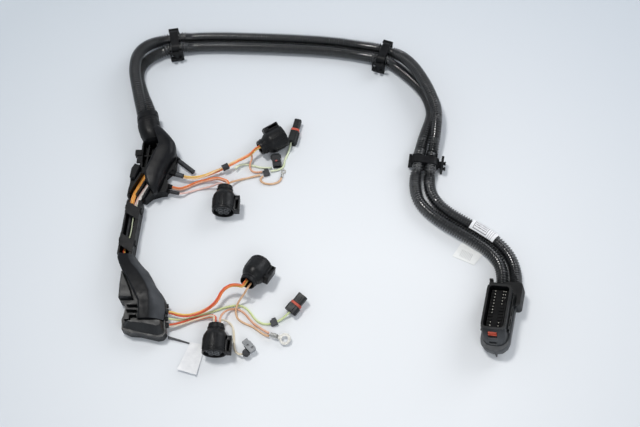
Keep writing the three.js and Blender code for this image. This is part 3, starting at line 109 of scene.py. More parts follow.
class Finish:
    """A material's node tree, with short calls for the nodes that are used here."""

    def __init__(self, name, roughness=0.5, metallic=0.0):
        self.material = bpy.data.materials.new(name)
        self.material.use_nodes = True
        self.tree = self.material.node_tree
        self.shader = self.tree.nodes["Principled BSDF"]
        self.shader.inputs["Roughness"].default_value = roughness
        self.shader.inputs["Metallic"].default_value = metallic
        self.place = self.node("ShaderNodeTexCoord").outputs["Object"]

    def node(self, kind, **settings):
        made = self.tree.nodes.new(kind)
        for key, value in settings.items():
            setattr(made, key, value)
        return made

    def link(self, source, target):
        self.tree.links.new(source, target)

    def noise(self, scale, detail=3.0, roughness=0.5, stretch=None):
        noise = self.node("ShaderNodeTexNoise")
        noise.inputs["Scale"].default_value = scale
        noise.inputs["Detail"].default_value = detail
        noise.inputs["Roughness"].default_value = roughness
        source = self.place
        if stretch:
            mapping = self.node("ShaderNodeMapping")
            mapping.inputs["Scale"].default_value = stretch
            self.link(source, mapping.inputs["Vector"])
            source = mapping.outputs["Vector"]
        self.link(source, noise.inputs["Vector"])
        return noise.outputs["Fac"]

    def ramp(self, source, low, high, start=0.0, end=1.0):
        node = self.node("ShaderNodeMapRange")
        node.inputs["From Min"].default_value = low
        node.inputs["From Max"].default_value = high
        node.inputs["To Min"].default_value = start
        node.inputs["To Max"].default_value = end
        self.link(source, node.inputs["Value"])
        return node.outputs["Result"]

    def mix(self, share, first, second):
        node = self.node("ShaderNodeMix", data_type="RGBA")
        for socket, value in ((node.inputs["A"], first), (node.inputs["B"], second)):
            self.colour(value, socket)
        self.link(share, node.inputs["Factor"])
        return node.outputs["Result"]

    def colour(self, value, socket):
        if isinstance(value, tuple):
            socket.default_value = (*value, 1)
        else:
            self.link(value, socket)

    def multiply(self, first, second):
        node = self.node("ShaderNodeMath", operation="MULTIPLY")
        for socket, value in zip(node.inputs, (first, second)):
            if isinstance(value, float):
                socket.default_value = value
            else:
                self.link(value, socket)
        return node.outputs["Value"]

    def bump(self, source, strength, depth):
        node = self.node("ShaderNodeBump")
        node.inputs["Strength"].default_value = strength
        node.inputs["Distance"].default_value = depth
        self.link(source, node.inputs["Height"])
        self.link(node.outputs["Normal"], self.shader.inputs["Normal"])

    def facing_up(self):
        split = self.node("ShaderNodeSeparateXYZ")
        self.link(self.node("ShaderNodeNewGeometry").outputs["Normal"], split.inputs["Vector"])
        return self.ramp(split.outputs["Z"], 0.35, 0.95)

    def paint(self, colour):
        self.colour(colour, self.shader.inputs["Base Color"])


def moulded(name, dark, light, roughness=0.45, dust_and_glints=0.35, grain=1.0, shine=0.3, far=None,
            right=None, spot=None):
    """Moulded plastic: uneven tone, fine grain, faint scuffs and dusty specks on what faces up.

    Another tone can take over at the far end, between two places along Y, or in a small round spot.
    The slopes that face right can get a painted sheen: a paler tone in uneven patches, as if lit
    from that side.
    """
    made = Finish(name)
    made.shader.inputs["Specular IOR Level"].default_value = shine
    tone = made.ramp(made.noise(90, 4), 0.32, 0.68)
    base = made.mix(tone, dark, light)
    scuffs = made.ramp(made.noise(420, 5, 0.7, (1, 0.25, 1)), 0.6, 0.74, 0.0, 0.4)
    pale = tuple(min(1.0, 1.8 * c + 0.008) for c in light)
    base = made.mix(scuffs, base, pale)
    specks = made.ramp(made.noise(900, 2, 0.6), 0.62, 0.72, 0.0, dust_and_glints)
    base = made.mix(made.multiply(made.facing_up(), specks), base, (0.12, 0.12, 0.125))
    if far:
        tone, near_y, far_y = far
        split = made.node("ShaderNodeSeparateXYZ")
        made.link(made.place, split.inputs["Vector"])
        base = made.mix(made.ramp(split.outputs["Y"], near_y, far_y), base, tone)
    # painted sheen: slopes that face right are painted paler, in uneven patches, as if lit from
    # that side
    if right:
        split = made.node("ShaderNodeSeparateXYZ")
        made.link(made.node("ShaderNodeNewGeometry").outputs["Normal"], split.inputs["Vector"])
        patchiness = made.ramp(made.noise(60, 3), 0.3, 0.6, 0.55, 1.0)
        sheen_side = made.ramp(split.outputs["X"], 0.16, 0.5)
        base = made.mix(made.multiply(sheen_side, patchiness), base, right)
    if spot:
        tone, place, radius = spot
        away = made.node("ShaderNodeVectorMath", operation="DISTANCE")
        away.inputs[1].default_value = place
        made.link(made.place, away.inputs[0])
        near = made.ramp(away.outputs["Value"], 0.7 * radius, radius, 1.0, 0.0)
        base = made.mix(near, base, tone)
    made.paint(base)
    gloss = made.ramp(made.noise(160, 4), 0.3, 0.7, roughness - 0.08, roughness + 0.12)
    made.link(gloss, made.shader.inputs["Roughness"])
    made.bump(made.noise(3200, 2), 0.14 * grain, 0.00005)
    return made.material


def ribbed():
    """Conduit plastic: painted shade in grooves, painted highlight and slight wear on crests,
    painted glints where crests face up.
    """
    made = Finish("ribbed_plastic")
    crest = made.node("ShaderNodeAttribute", attribute_name="crest").outputs["Fac"]
    patchiness = made.ramp(made.noise(260, 4, 0.65), 0.35, 0.7, 0.55, 1.0)
    # painted shade: grooves near black; painted highlight with a little wear: crests paler, in
    # uneven patches
    base = made.mix(made.multiply(crest, patchiness), (0.0008, 0.001, 0.0012), (0.042, 0.045, 0.048))
    # painted glints, with a little dust: pale specks on the crests that face up
    specks = made.ramp(made.noise(560, 3, 0.6), 0.59, 0.67, 0.0, 0.6)
    dust_and_glints = made.multiply(made.multiply(made.facing_up(), specks), crest)
    base = made.mix(dust_and_glints, base, (0.3, 0.3, 0.3))
    made.paint(base)
    made.shader.inputs["Specular IOR Level"].default_value = 1.0
    made.link(made.ramp(made.noise(260, 3), 0.3, 0.7, 0.14, 0.24), made.shader.inputs["Roughness"])
    made.bump(made.noise(1500, 3), 0.2, 0.00006)
    return made.material


def insulation(name, colour, shade):
    """Wire insulation: satin, with a slightly deeper tone in patches along it."""
    made = Finish(name)
    patches = made.ramp(made.noise(120, 3, 0.55), 0.35, 0.7)
    base = made.mix(patches, colour, shade)
    grime = made.ramp(made.noise(520, 4, 0.7), 0.6, 0.78, 0.0, 0.3)
    made.paint(made.mix(grime, base, tuple(c * 0.45 for c in shade)))
    made.link(made.ramp(made.noise(300, 2), 0.3, 0.7, 0.3, 0.5), made.shader.inputs["Roughness"])
    made.bump(made.noise(2600, 2), 0.15, 0.00004)
    return made.material


def rubbery(name, colour, shade):
    made = Finish(name)
    made.paint(made.mix(made.ramp(made.noise(240, 4), 0.3, 0.7), colour, shade))
    made.link(made.ramp(made.noise(400, 3), 0.3, 0.7, 0.5, 0.75), made.shader.inputs["Roughness"])
    made.bump(made.noise(2000, 3), 0.3, 0.00008)
    return made.material


def tinned(name):
    made = Finish(name, metallic=1.0)
    tone = made.ramp(made.noise(700, 4, 0.6), 0.3, 0.7)
    made.paint(made.mix(tone, (0.6, 0.6, 0.58), (0.34, 0.34, 0.32)))
    made.link(made.ramp(made.noise(900, 3), 0.3, 0.7, 0.3, 0.55), made.shader.inputs["Roughness"])
    made.bump(made.noise(1800, 3), 0.2, 0.00005)
    return made.material


def woven(name, thread):
    """White tape: two crossed rows of threads, a little uneven in tone."""
    made = Finish(name, 0.75)
    rows = []
    for axis in ("X", "Y"):
        wave = made.node("ShaderNodeTexWave", wave_type="BANDS", bands_direction=axis)
        wave.inputs["Scale"].default_value = thread
        wave.inputs["Distortion"].default_value = 1.5
        wave.inputs["Detail"].default_value = 1.0
        made.link(made.place, wave.inputs["Vector"])
        rows.append(wave.outputs["Fac"])
    weave = made.multiply(rows[0], rows[1])
    tone = made.mix(made.ramp(made.noise(150, 3), 0.3, 0.7), (0.88, 0.89, 0.9), (0.76, 0.77, 0.79))
    made.paint(made.mix(made.ramp(weave, 0.0, 1.0, 0.0, 0.35), tone, (0.92, 0.92, 0.92)))
    made.bump(weave, 0.4, 0.00012)
    return made.material


def printed_band():
    """White wrap with a printed frame, rows of short grey bars in it, and bands at one end."""
    made = Finish("printed_band", 0.42)
    split = made.node("ShaderNodeSeparateXYZ")
    made.link(made.node("ShaderNodeTexCoord").outputs["UV"], split.inputs["Vector"])
    u, v = split.outputs["X"], split.outputs["Y"]

    def within(source, low, high, edge):
        return made.multiply(made.ramp(source, low - edge, low + edge),
                             made.ramp(source, high - edge, high + edge, 1.0, 0.0))

    def stripes(source, count, fill):
        node = made.node("ShaderNodeMath", operation="FRACT")
        made.link(made.multiply(source, float(count)), node.inputs[0])
        return made.ramp(node.outputs["Value"], fill - 0.06, fill + 0.06, 1.0, 0.0)

    words = made.node("ShaderNodeTexNoise", noise_dimensions="2D")
    words.inputs["Scale"].default_value = 1.0
    words.inputs["Detail"].default_value = 1.0
    spread = made.node("ShaderNodeCombineXYZ")
    made.link(made.multiply(u, 60.0), spread.inputs["X"])
    made.link(made.multiply(v, 9.0), spread.inputs["Y"])
    made.link(spread.outputs["Vector"], words.inputs["Vector"])
    bars = made.multiply(stripes(v, 9, 0.52), made.ramp(words.outputs["Fac"], 0.38, 0.46))
    field = made.multiply(within(u, 0.15, 0.6, 0.004), within(v, 0.16, 0.66, 0.01))
    bars = made.multiply(bars, field)
    frame_in = made.multiply(within(u, 0.13, 0.63, 0.004), within(v, 0.13, 0.69, 0.008))
    frame_out = made.multiply(within(u, 0.11, 0.65, 0.004), within(v, 0.09, 0.73, 0.008))
    line = made.multiply(frame_out, made.ramp(frame_in, 0.0, 1.0, 1.0, 0.0))
    ends = made.multiply(stripes(u, 14, 0.28), within(u, 0.7, 0.93, 0.004))
    base = made.mix(made.ramp(made.noise(500, 3), 0.3, 0.7), (0.86, 0.86, 0.87), (0.74, 0.75, 0.77))
    for mark, strength in ((bars, 0.9), (line, 0.95), (ends, 0.65)):
        base = made.mix(made.multiply(mark, strength), base, (0.09, 0.09, 0.1))
    made.paint(base)
    made.bump(made.noise(1500, 3), 0.2, 0.00005)
    return made.material


def tag_paper():
    """Thin pale tag with a block of faint printed rows, in the tag's own turned frame."""
    made = Finish("tag_paper", 0.5)
    turned = made.node("ShaderNodeMapping", vector_type="TEXTURE")
    turned.inputs["Location"].default_value = (0.1425, -0.0785, 0)
    turned.inputs["Rotation"].default_value = (0, 0, math.radians(-29))
    made.link(made.place, turned.inputs["Vector"])
    split = made.node("ShaderNodeSeparateXYZ")
    made.link(turned.outputs["Vector"], split.inputs["Vector"])
    x, y = split.outputs["X"], split.outputs["Y"]
    node = made.node("ShaderNodeMath", operation="FRACT")
    made.link(made.multiply(x, 620.0), node.inputs[0])
    rows = made.ramp(node.outputs["Value"], 0.4, 0.55, 1.0, 0.0)
    for source, low, high in ((x, 0.0055, 0.0185), (y, 0.003, 0.0115)):
        rows = made.multiply(rows, made.ramp(source, low - 0.0002, low + 0.0002))
        rows = made.multiply(rows, made.ramp(source, high - 0.0002, high + 0.0002, 1.0, 0.0))
    base = made.mix(made.ramp(made.noise(300, 3), 0.3, 0.7), (0.9, 0.91, 0.9), (0.84, 0.85, 0.84))
    made.paint(made.mix(made.multiply(rows, 0.5), base, (0.35, 0.36, 0.36)))
    made.bump(made.noise(1500, 3), 0.15, 0.00004)
    return made.material


def floor_finish():
    made = Finish("pale_floor", 0.85)
    # Painted pool of light: the floor is painted paler round a point at the near end of the harness
    # and darker further out, as the lamps' light falls off.
    away = made.node("ShaderNodeVectorMath", operation="DISTANCE")
    away.inputs[1].default_value = (0.05, -0.2, 0)
    made.link(made.place, away.inputs[0])
    base = made.mix(made.ramp(away.outputs["Value"], 0.12, 0.6),
                    (0.81, 0.83, 0.855), (0.51, 0.555, 0.605))
    clouds = made.ramp(made.noise(1.3, 2), 0.35, 0.65, 0.0, 0.1)
    made.paint(made.mix(clouds, base, (0.66, 0.7, 0.7)))
    made.shader.inputs["Specular IOR Level"].default_value = 0.1
    made.bump(made.noise(900, 2), 0.05, 0.00005)
    return made.material


# Meshes

def mesh_object(name, bm, material, sharp=35):
    """The mesh as an object at the origin: smooth, with its edges above an angle kept sharp."""
    bmesh.ops.recalc_face_normals(bm, faces=bm.faces)
    for face in bm.faces:
        face.smooth = True
    for edge in bm.edges:
        edge.smooth = edge.calc_face_angle(0) < math.radians(sharp)
    mesh = bpy.data.meshes.new(name)
    bm.to_mesh(mesh)
    bm.free()
    mesh.materials.append(material)
    made = bpy.data.objects.new(name, mesh)
    bpy.context.scene.collection.objects.link(made)
    return made


def piece(name, bm, material, *replaced, slot, sharp=35):
    made = mesh_object(name, bm, material, sharp)
    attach(made, "root")
    if replaced:
        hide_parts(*replaced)
    return made


def spline(points, step):
    """Points a step apart on the smooth centripetal curve through a route's points."""
    points = [Vector(p) for p in points]
    dense = [points[0]]
    for i in range(len(points) - 1):
        start, end = points[i], points[i + 1]
        before = points[i - 1] if i else start * 2 - end
        after = points[i + 2] if i + 2 < len(points) else end * 2 - start
        gaps = [max((b - a).length, 1e-6) ** 0.5
                for a, b in ((before, start), (start, end), (end, after))]
        leave = ((start - before) / gaps[0] - (end - before) / (gaps[0] + gaps[1])
                 + (end - start) / gaps[1]) * gaps[1]
        reach = ((end - start) / gaps[1] - (after - start) / (gaps[1] + gaps[2])
                 + (after - end) / gaps[2]) * gaps[1]
        count = max(2, math.ceil((end - start).length / step * 4))
        for k in range(1, count + 1):
            t = k / count
            dense.append(
                start * (2 * t**3 - 3 * t**2 + 1) + leave * (t**3 - 2 * t**2 + t)
                + end * (3 * t**2 - 2 * t**3) + reach * (t**3 - t**2)
            )
    lengths = [0.0]
    for a, b in zip(dense, dense[1:]):
        lengths.append(lengths[-1] + (b - a).length)
    count = max(2, round(lengths[-1] / step))
    line, i = [], 0
    for k in range(count + 1):
        target = lengths[-1] * k / count
        while i < len(lengths) - 2 and lengths[i + 1] < target:
            i += 1
        share = (target - lengths[i]) / max(lengths[i + 1] - lengths[i], 1e-9)
        line.append(dense[i].lerp(dense[i + 1], share))
    return line


def side_frames(line):
    """A sideways and an upward direction at each point of a line, carried along with no twist."""
    frames = []
    side = None
    for i, point in enumerate(line):
        along = (line[min(i + 1, len(line) - 1)] - line[max(i - 1, 0)]).normalized()
        if side is None:
            side = along.cross(Vector((0, 0, 1))).normalized()
        side = (side - along * side.dot(along)).normalized()
        frames.append((point, side, side.cross(along)))
    return frames


def ring_of(bm, point, side, up, radius, sides):
    return [
        bm.verts.new(point + side * radius * math.cos(a) + up * radius * math.sin(a))
        for a in (2 * math.pi * i / sides for i in range(sides))
    ]


def bridge(bm, first, second):
    count = len(first)
    for i in range(count):
        bm.faces.new((first[i], first[(i + 1) % count], second[(i + 1) % count], second[i]))


def swept(bm, line, radii, sides, crests=None):
    """A closed tube along a line, with a radius at each of its points."""
    layer = bm.verts.layers.float.new("crest") if crests else None
    rings = []
    for i, (point, side, up) in enumerate(side_frames(line)):
        ring = ring_of(bm, point, side, up, radii[i], sides)
        if layer:
            for vert in ring:
                vert[layer] = crests[i]
        if rings:
            bridge(bm, rings[-1], ring)
        rings.append(ring)
    bm.faces.new(rings[0])
    bm.faces.new(reversed(rings[-1]))


def lofted(bm, rings):
    made = [[bm.verts.new(p) for p in ring] for ring in rings]
    for first, second in zip(made, made[1:]):
        bridge(bm, first, second)
    bm.faces.new(made[0])
    bm.faces.new(reversed(made[-1]))


def lathed(bm, profile, at=(0, 0, 0), steps=48):
    """A closed profile of (radius, distance along Y) pairs turned round a line along Y."""
    part = bmesh.new()
    verts = [part.verts.new((radius, y, 0)) for radius, y in profile]
    edges = [part.edges.new(pair) for pair in zip(verts, verts[1:])]
    if profile[0][0] > 0:
        edges.append(part.edges.new((verts[-1], verts[0])))
    bmesh.ops.spin(part, geom=verts + edges, axis=(0, 1, 0), cent=(0, 0, 0), angle=2 * math.pi,
                   steps=steps, use_merge=True)
    bmesh.ops.remove_doubles(part, verts=part.verts, dist=1e-7)
    bmesh.ops.translate(part, vec=at, verts=part.verts)
    absorb(bm, part)


def soften(bm, edges, width):
    bmesh.ops.bevel(bm, geom=edges, offset=width, offset_type="OFFSET", affect="EDGES",
                    segments=2, profile=0.5, material=-1, clamp_overlap=True)


def block(bm, size, at, turn=None, edge=0.0003):
    """A block with softened edges, added to the mesh."""
    part = bmesh.new()
    bmesh.ops.create_cube(part, size=1)
    bmesh.ops.scale(part, vec=size, verts=part.verts)
    soften(part, part.edges[:], min(edge, 0.3 * min(size)))
    if turn is not None:
        bmesh.ops.transform(part, matrix=turn, verts=part.verts)
    bmesh.ops.translate(part, vec=at, verts=part.verts)
    absorb(bm, part)


def absorb(bm, part):
    mesh = bpy.data.meshes.new("part")
    part.to_mesh(mesh)
    part.free()
    bm.from_mesh(mesh)
    bpy.data.meshes.remove(mesh)


def settled(bm, matrix):
    bmesh.ops.transform(bm, matrix=matrix, verts=bm.verts)


def placing(at, azimuth, tilt, roll):
    """A frame whose Y axis points along an azimuth, tilted up and rolled about itself."""
    turn = (Matrix.Rotation(math.radians(azimuth - 90), 4, "Z")
            @ Matrix.Rotation(math.radians(tilt), 4, "X")
            @ Matrix.Rotation(math.radians(roll), 4, "Y"))
    return Matrix.Translation(at) @ turn


# Routes in millimetres, repeated from the model's source. Each point of the trunk has its place,
# the twist of the two conduits about each other in degrees, and how far they spread apart.

ROUTES = {
    "duct_wire_orange": [
        (-183.9, 13, 9.4), (-187.2, 6.6, 9.8), (-190.4, -1.8, 10.6), (-193.2, -9.6, 11),
        (-195, -16, 10.8), (-195.8, -22, 9.8), (-196.2, -30, 8.6), (-197.1, -42, 7.4),
        (-198.2, -56, 7.2), (-199.2, -69, 8), (-199.4, -78, 9.4), (-197.6, -85, 10.6),
    ],
    "duct_wire_white": [
        (-178.5, 2, 9.8), (-181, -3, 10), (-183.5, -7.6, 10.2), (-185.9, -12.2, 10.4),
        (-188, -17, 10.2), (-189.5, -22, 9.4), (-190.2, -28, 8.4), (-191.2, -38, 7),
        (-192.2, -50, 6.6), (-193, -62, 6.6), (-193.6, -72, 6.8),
    ],
    "duct_wire_green": [
        (-190, -25, 13.4), (-191, -31, 13.2), (-192.4, -38, 12.8), (-193, -47, 12.6),
        (-193.4, -56, 12.6), (-194.4, -64, 12.8), (-196, -71, 13), (-198, -77, 13.4),
    ],
    "wire_upper_tan": [
        (-143.2, 12, 8.8), (-138, 11.6, 7.6), (-131, 12, 6.4), (-124, 13.6, 6), (-117, 16.2, 6),
        (-110, 19.4, 6.6), (-102, 22.8, 7.8), (-95.6, 26, 8.6), (-89, 29.4, 9.4), (-80, 34, 10.4),
        (-71.5, 39.2, 11.6), (-66.9, 44.2, 12.9), (-63.9, 46.1, 12.9), (-59.6, 49, 12.9),
    ],
    "wire_upper_orange": [
        (-155.1, 0.1, 6.4), (-151.6, -0.7, 6), (-147.2, -0.6, 4.4), (-141.6, 1.8, 2.8),
        (-135.2, 5.2, 2.3), (-128.2, 8.4, 2.3), (-121, 10.2, 2.6), (-113.6, 10.8, 5),
        (-106.4, 9.6, 8.6), (-100.6, 6.2, 12), (-95.3, 2.4, 13.8), (-95.4, -1.1, 13.8),
        (-95.5, -6.3, 13.8),
    ],
    "wire_upper_pink": [
        (-146.8, -7.5, 6), (-143.4, -6.8, 5), (-138.4, -4.2, 2.6), (-132, -1.4, 1.4),
        (-125, 0.8, 1.4), (-118, 2, 2.6), (-111, 2.4, 6), (-105.4, 3, 9.6), (-100.5, 2.5, 9.8),
        (-100.6, -1, 9.8), (-100.7, -6.2, 9.8),
    ],
    "wire_upper_green": [
        (-88.4, 23.8, 6), (-85.4, 27.6, 4.6), (-81.4, 30.6, 3), (-75.4, 31.4, 1.6),
        (-68.6, 29.8, 1.3), (-60.3, 27.8, 1.3), (-53, 27.2, 1.6), (-49, 27, 2.6),
    ],
    "wire_upper_pink_loop": [
        (-70.6, 36.6, 6.8), (-71.4, 34, 4.8), (-72.4, 31, 4.2), (-72.6, 27, 3),
        (-70.8, 23.6, 1.6), (-66.6, 21.8, 1.3), (-62.6, 21.8, 1.6), (-59.2, 21.7, 2.2),
    ],
    "wire_upper_brown": [
        (-94.5, -6.4, 9.8), (-94.4, -1.2, 9.8), (-94.3, 2.3, 9.8), (-93.8, 4.6, 8), (-90, 8, 5),
        (-85, 11, 2.6), (-79, 13.4, 1.3), (-72, 15.2, 1.3), (-66, 16.8, 1.6), (-61.4, 17.8, 2.2),
    ],
    "wire_upper_loop": [
        (-58, 16.6, 2.2), (-60, 14.8, 1.6), (-60.8, 12, 1.3), (-58.4, 9, 1.3), (-54.6, 7.4, 1.3),
        (-50.2, 7, 1.3), (-45.6, 7.6, 1.3), (-41.4, 9.4, 1.3), (-39, 12, 1.5), (-38.2, 14.6, 1.8),
    ],
    "wire_upper_sensor": [
        (-27.9, 58.8, 5), (-28.5, 55.4, 4.6), (-29.6, 51.4, 3), (-31, 47, 1.6), (-32.4, 43, 1.3),
        (-34.2, 38.6, 1.3), (-35.2, 33.4, 1.3), (-35.8, 30, 1.3), (-38.2, 26.6, 1.3),
        (-42, 24.8, 1.4), (-46.4, 23.6, 1.8), (-50, 22.8, 2.2),
    ],
    "wire_lower_c3": [
        (-148.1, -145.9, 9.4), (-144.6, -146.5, 9.2), (-139.3, -148, 8.2), (-133.6, -148.9, 7.4),
        (-128, -148.7, 7), (-122.6, -147.4, 7), (-117.6, -145.6, 7), (-112, -142.8, 7.4),
        (-107, -139.6, 8.2), (-102.4, -135.8, 9.2), (-98.8, -131, 10.6), (-96, -126, 12),
        (-91.6, -121.8, 14), (-86, -119.6, 16), (-80.4, -120, 18), (-74, -122.7, 22.4),
        (-72.5, -119.7, 21.3), (-70.2, -115.3, 19.7),
    ],
    "wire_lower_c4": [
        (-147.1, -159.1, 7.2), (-143.8, -158.6, 6.8), (-138, -156.8, 5), (-131.4, -154.2, 3.4),
        (-123.6, -151.4, 2.4), (-116, -149.4, 2.4), (-109.6, -148.6, 4.2), (-104.6, -149.4, 7.4),
        (-101.6, -152, 10.6), (-101.2, -155.3, 13.8), (-101.3, -158.8, 13.8),
        (-101.5, -164, 13.8),
    ],
    "wire_lower_pink": [
        (-96.1, -164.2, 13.6), (-95.9, -159, 13.6), (-95.8, -155.5, 13.6), (-95, -150.4, 11.4),
        (-92.6, -145.6, 8), (-89.4, -141.8, 4.6), (-84.8, -139.8, 2.4), (-79.4, -139.8, 1.6),
        (-74.6, -142.4, 1.4), (-70.4, -146.4, 1.4), (-66.8, -151, 1.4), (-62.4, -155.6, 1.6),
        (-57, -159.6, 2), (-51.6, -163.4, 2.8), (-47.2, -166.2, 3.8),
    ],
    "wire_lower_tan": [
        (-65.8, -118.2, 18), (-68.1, -122.6, 19.6), (-69.6, -125.6, 20.7), (-72.6, -127.4, 13.6),
        (-75, -129.6, 10.4), (-77.4, -132, 7.6), (-79.6, -135.4, 5.4), (-81, -139.8, 4.6),
        (-81.2, -144.6, 3.2), (-79.4, -149.4, 1.6), (-75.4, -153, 1.3), (-70, -155.8, 1.3),
        (-64.6, -158.2, 1.3), (-59.6, -161.6, 1.3), (-55, -165.2, 1.6), (-50.6, -168, 2.6),
        (-47, -169.4, 3.8),
    ],
    "wire_lower_sensor": [
        (-25.6, -143.6, 6.2), (-28.4, -145.8, 5.2), (-31.2, -148, 3.6), (-34.2, -150.2, 2.4),
        (-38.4, -152.8, 2.2),
    ],
    "wire_lower_green": [
        (-148.1, -152.6, 8), (-144.4, -152.7, 7), (-139.4, -152.2, 4.2), (-134, -151, 1.8),
        (-128, -149.4, 1.3), (-122, -147.4, 1.3), (-116, -145.6, 1.3), (-109, -143.4, 1.3),
        (-102, -141, 1.3), (-95, -138.4, 1.3), (-88, -136.4, 1.3), (-82, -135.4, 1.3),
        (-76.6, -135.8, 1.3), (-72, -138, 1.3), (-67.4, -142.4, 1.3), (-63.4, -148, 1.3),
        (-59, -152.6, 1.3), (-54, -155.2, 1.3), (-50, -155.8, 1.6), (-46.6, -155.6, 2.2),
    ],
    "wire_lower_terminal": [
        (-96.1, -164.2, 9.6), (-95.9, -159, 9.6), (-95.8, -155.5, 9.6), (-92, -153.4, 6),
        (-88, -154.6, 3), (-84.6, -158, 1.3), (-83, -163, 1.3), (-82.4, -169, 1.3),
        (-82, -175, 1.3), (-81.4, -180.4, 1.4), (-80.2, -184.8, 2.2), (-77.8, -187.8, 3.6),
        (-75.4, -189.1, 5), (-73, -189.3, 6.2),
    ],
}
ROUTES = {name: [tuple(c / 1000 for c in point) for point in points]
          for name, points in ROUTES.items()}

TRUNK = [
    (-184.5, 74, 50, 0), (-187, 83, 50, 0), (-190, 94, 52, 0), (-194, 106, 60, 0),
    (-198, 118, 70, 0), (-201.5, 130, 76, 0), (-204.5, 142, 80, 0), (-204.8, 154, 78, 0),
    (-202.5, 164, 66, 0), (-197, 173.5, 50, 0), (-189.5, 181, 32, 0), (-180.5, 187, 14, 0),
    (-173.4, 190, 0, 0), (-164.5, 191.6, 0, 0), (-155.6, 193.2, 0, 0), (-147, 194.2, 0, 0),
    (-136, 195, 0, 0), (-113, 195.4, 0, 0), (-90, 194.8, 0, 0), (-66, 194, 0, 0),
    (-43, 193, 0, 0), (-19, 191.6, 0, 0), (4, 189.8, 0, 0), (27, 187, 0, 0),
    (50.5, 182.6, 0, 0), (69, 177.7, 0, 0), (77.5, 174.6, 0, 0), (86, 171.5, 0, 0),
    (94.5, 164.8, 24, 0), (106, 151, 50, 0), (115.7, 136.5, 72, 0), (123.3, 122.5, 84, 0),
    (128.5, 107, 84, 0), (130.8, 94.5, 76, 0), (129.6, 82, 62, 0), (127, 70.5, 46, 0),
    (124, 58, 28, 0), (120.8, 44, 6, 0), (119.3, 38.4, 0, 0), (118, 29.5, 0, 0),
    (116.7, 20.6, 0, 0), (115.4, 14, 0, 1.4), (114.3, 1, 0, 1.8), (116.2, -11, 0, 2.4),
    (121.3, -20.5, 0, 1.6), (128.5, -29, 0, 0.4), (141, -39.5, 0, 0), (155, -49, 0, 0),
    (169, -58.5, 0, 0), (182.3, -69, 0, 0), (190.5, -78.6, 0, 0), (195.8, -88.5, 0, 0),
    (198, -99.5, 0, 0), (198, -110, 6, 0), (196.4, -120, 12, 0), (194, -130, 18, 0),
]
TRUNK = [(x / 1000, y / 1000, twist, spread / 1000) for x, y, twist, spread in TRUNK]


# Conduits

CONDUIT = 0.013
SPACING = 0.0136
RIB_PITCH = 0.00282
RIB_SIDES = 20
REST = 0.00675
REST_IN_CLIP = 0.0086
CLIP_PASSAGES = (12, 13, 14, 25, 26, 27, 38, 39, 40)


def conduit_route(outer):
    """The outer conduit is on the left of the trunk's way, and on top where the trunk twists."""
    route = []
    for i, (x, y, twist, spread) in enumerate(TRUNK):
        before = TRUNK[max(i - 1, 0)]
        after = TRUNK[min(i + 1, len(TRUNK) - 1)]
        along = Vector((after[0] - before[0], after[1] - before[1])).normalized()
        side = (1 if outer else -1) * (SPACING * math.cos(math.radians(twist)) + spread) / 2
        lift = SPACING * math.sin(math.radians(twist)) if outer else 0
        rest = REST_IN_CLIP if i in CLIP_PASSAGES else REST
        route.append((x - along.y * side, y + along.x * side, rest + lift))
    return route


# One rib: how far along its pitch, how far below the crest, and how much painted crest highlight it
# has against the groove's painted shade (with a little wear)
RIB = ((0.0, 0.0015, 0.0), (0.42, 0.0015, 0.0), (0.52, 0.0004, 0.7), (0.7, 0.0, 1.0),
       (0.88, 0.0004, 0.7))


def make_conduit(name, outer, material):
    route = conduit_route(outer)
    path = spline(route, 0.0008)
    run = [0.0]
    for a, b in zip(path, path[1:]):
        run.append(run[-1] + (b - a).length)
    count = int(run[-1] / RIB_PITCH)
    marks = [(k + share, drop, painted_crest_light) for k in range(count) for share, drop, painted_crest_light in RIB]
    line = []
    i = 0
    for at, drop, painted_crest_light in marks:
        place = at / count * run[-1]
        while run[i + 1] < place:
            i += 1
        line.append(path[i].lerp(path[i + 1], (place - run[i]) / (run[i + 1] - run[i])))
    bm = bmesh.new()
    radii = [CONDUIT / 2 - drop for at, drop, painted_crest_light in marks]
    swept(bm, line, radii, RIB_SIDES, [painted_crest_light for at, drop, painted_crest_light in marks])
    made = piece(name + "_ribbed", bm, material, name, slot="conduit_outer", sharp=70)
    centre = spline(route, 0.01)


# Wires

WIRE = 0.0022
STRAND = 0.0019
STRAND_REACH = 0.00105
WIRE_STEP = 0.002


def wire(name, points, diameter, material, *replaced, slot):
    """A round wire along its points, as a curve with one open spline."""
    curve = bpy.data.curves.new(name, "CURVE")
    curve.dimensions = "3D"
    curve.bevel_depth = diameter / 2
    curve.bevel_resolution = 3
    curve.use_fill_caps = True
    line = curve.splines.new("POLY")
    line.points.add(len(points) - 1)
    for dot, place in zip(line.points, points):
        dot.co = (*place, 1)
    line.use_smooth = True
    curve.materials.append(material)
    made = bpy.data.objects.new(name, curve)
    bpy.context.scene.collection.objects.link(made)
    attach(made, "root")
    if replaced:
        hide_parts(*replaced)
    return made


def strand_points(line, reach, angle, turns):
    """A line that winds round another at a distance."""
    points = []
    for i, (point, side, up) in enumerate(side_frames(line)):
        share = i / (len(line) - 1)
        a = math.radians(angle) + 2 * math.pi * turns * share
        points.append(point + (side * math.cos(a) + up * math.sin(a)) * reach)
    return points


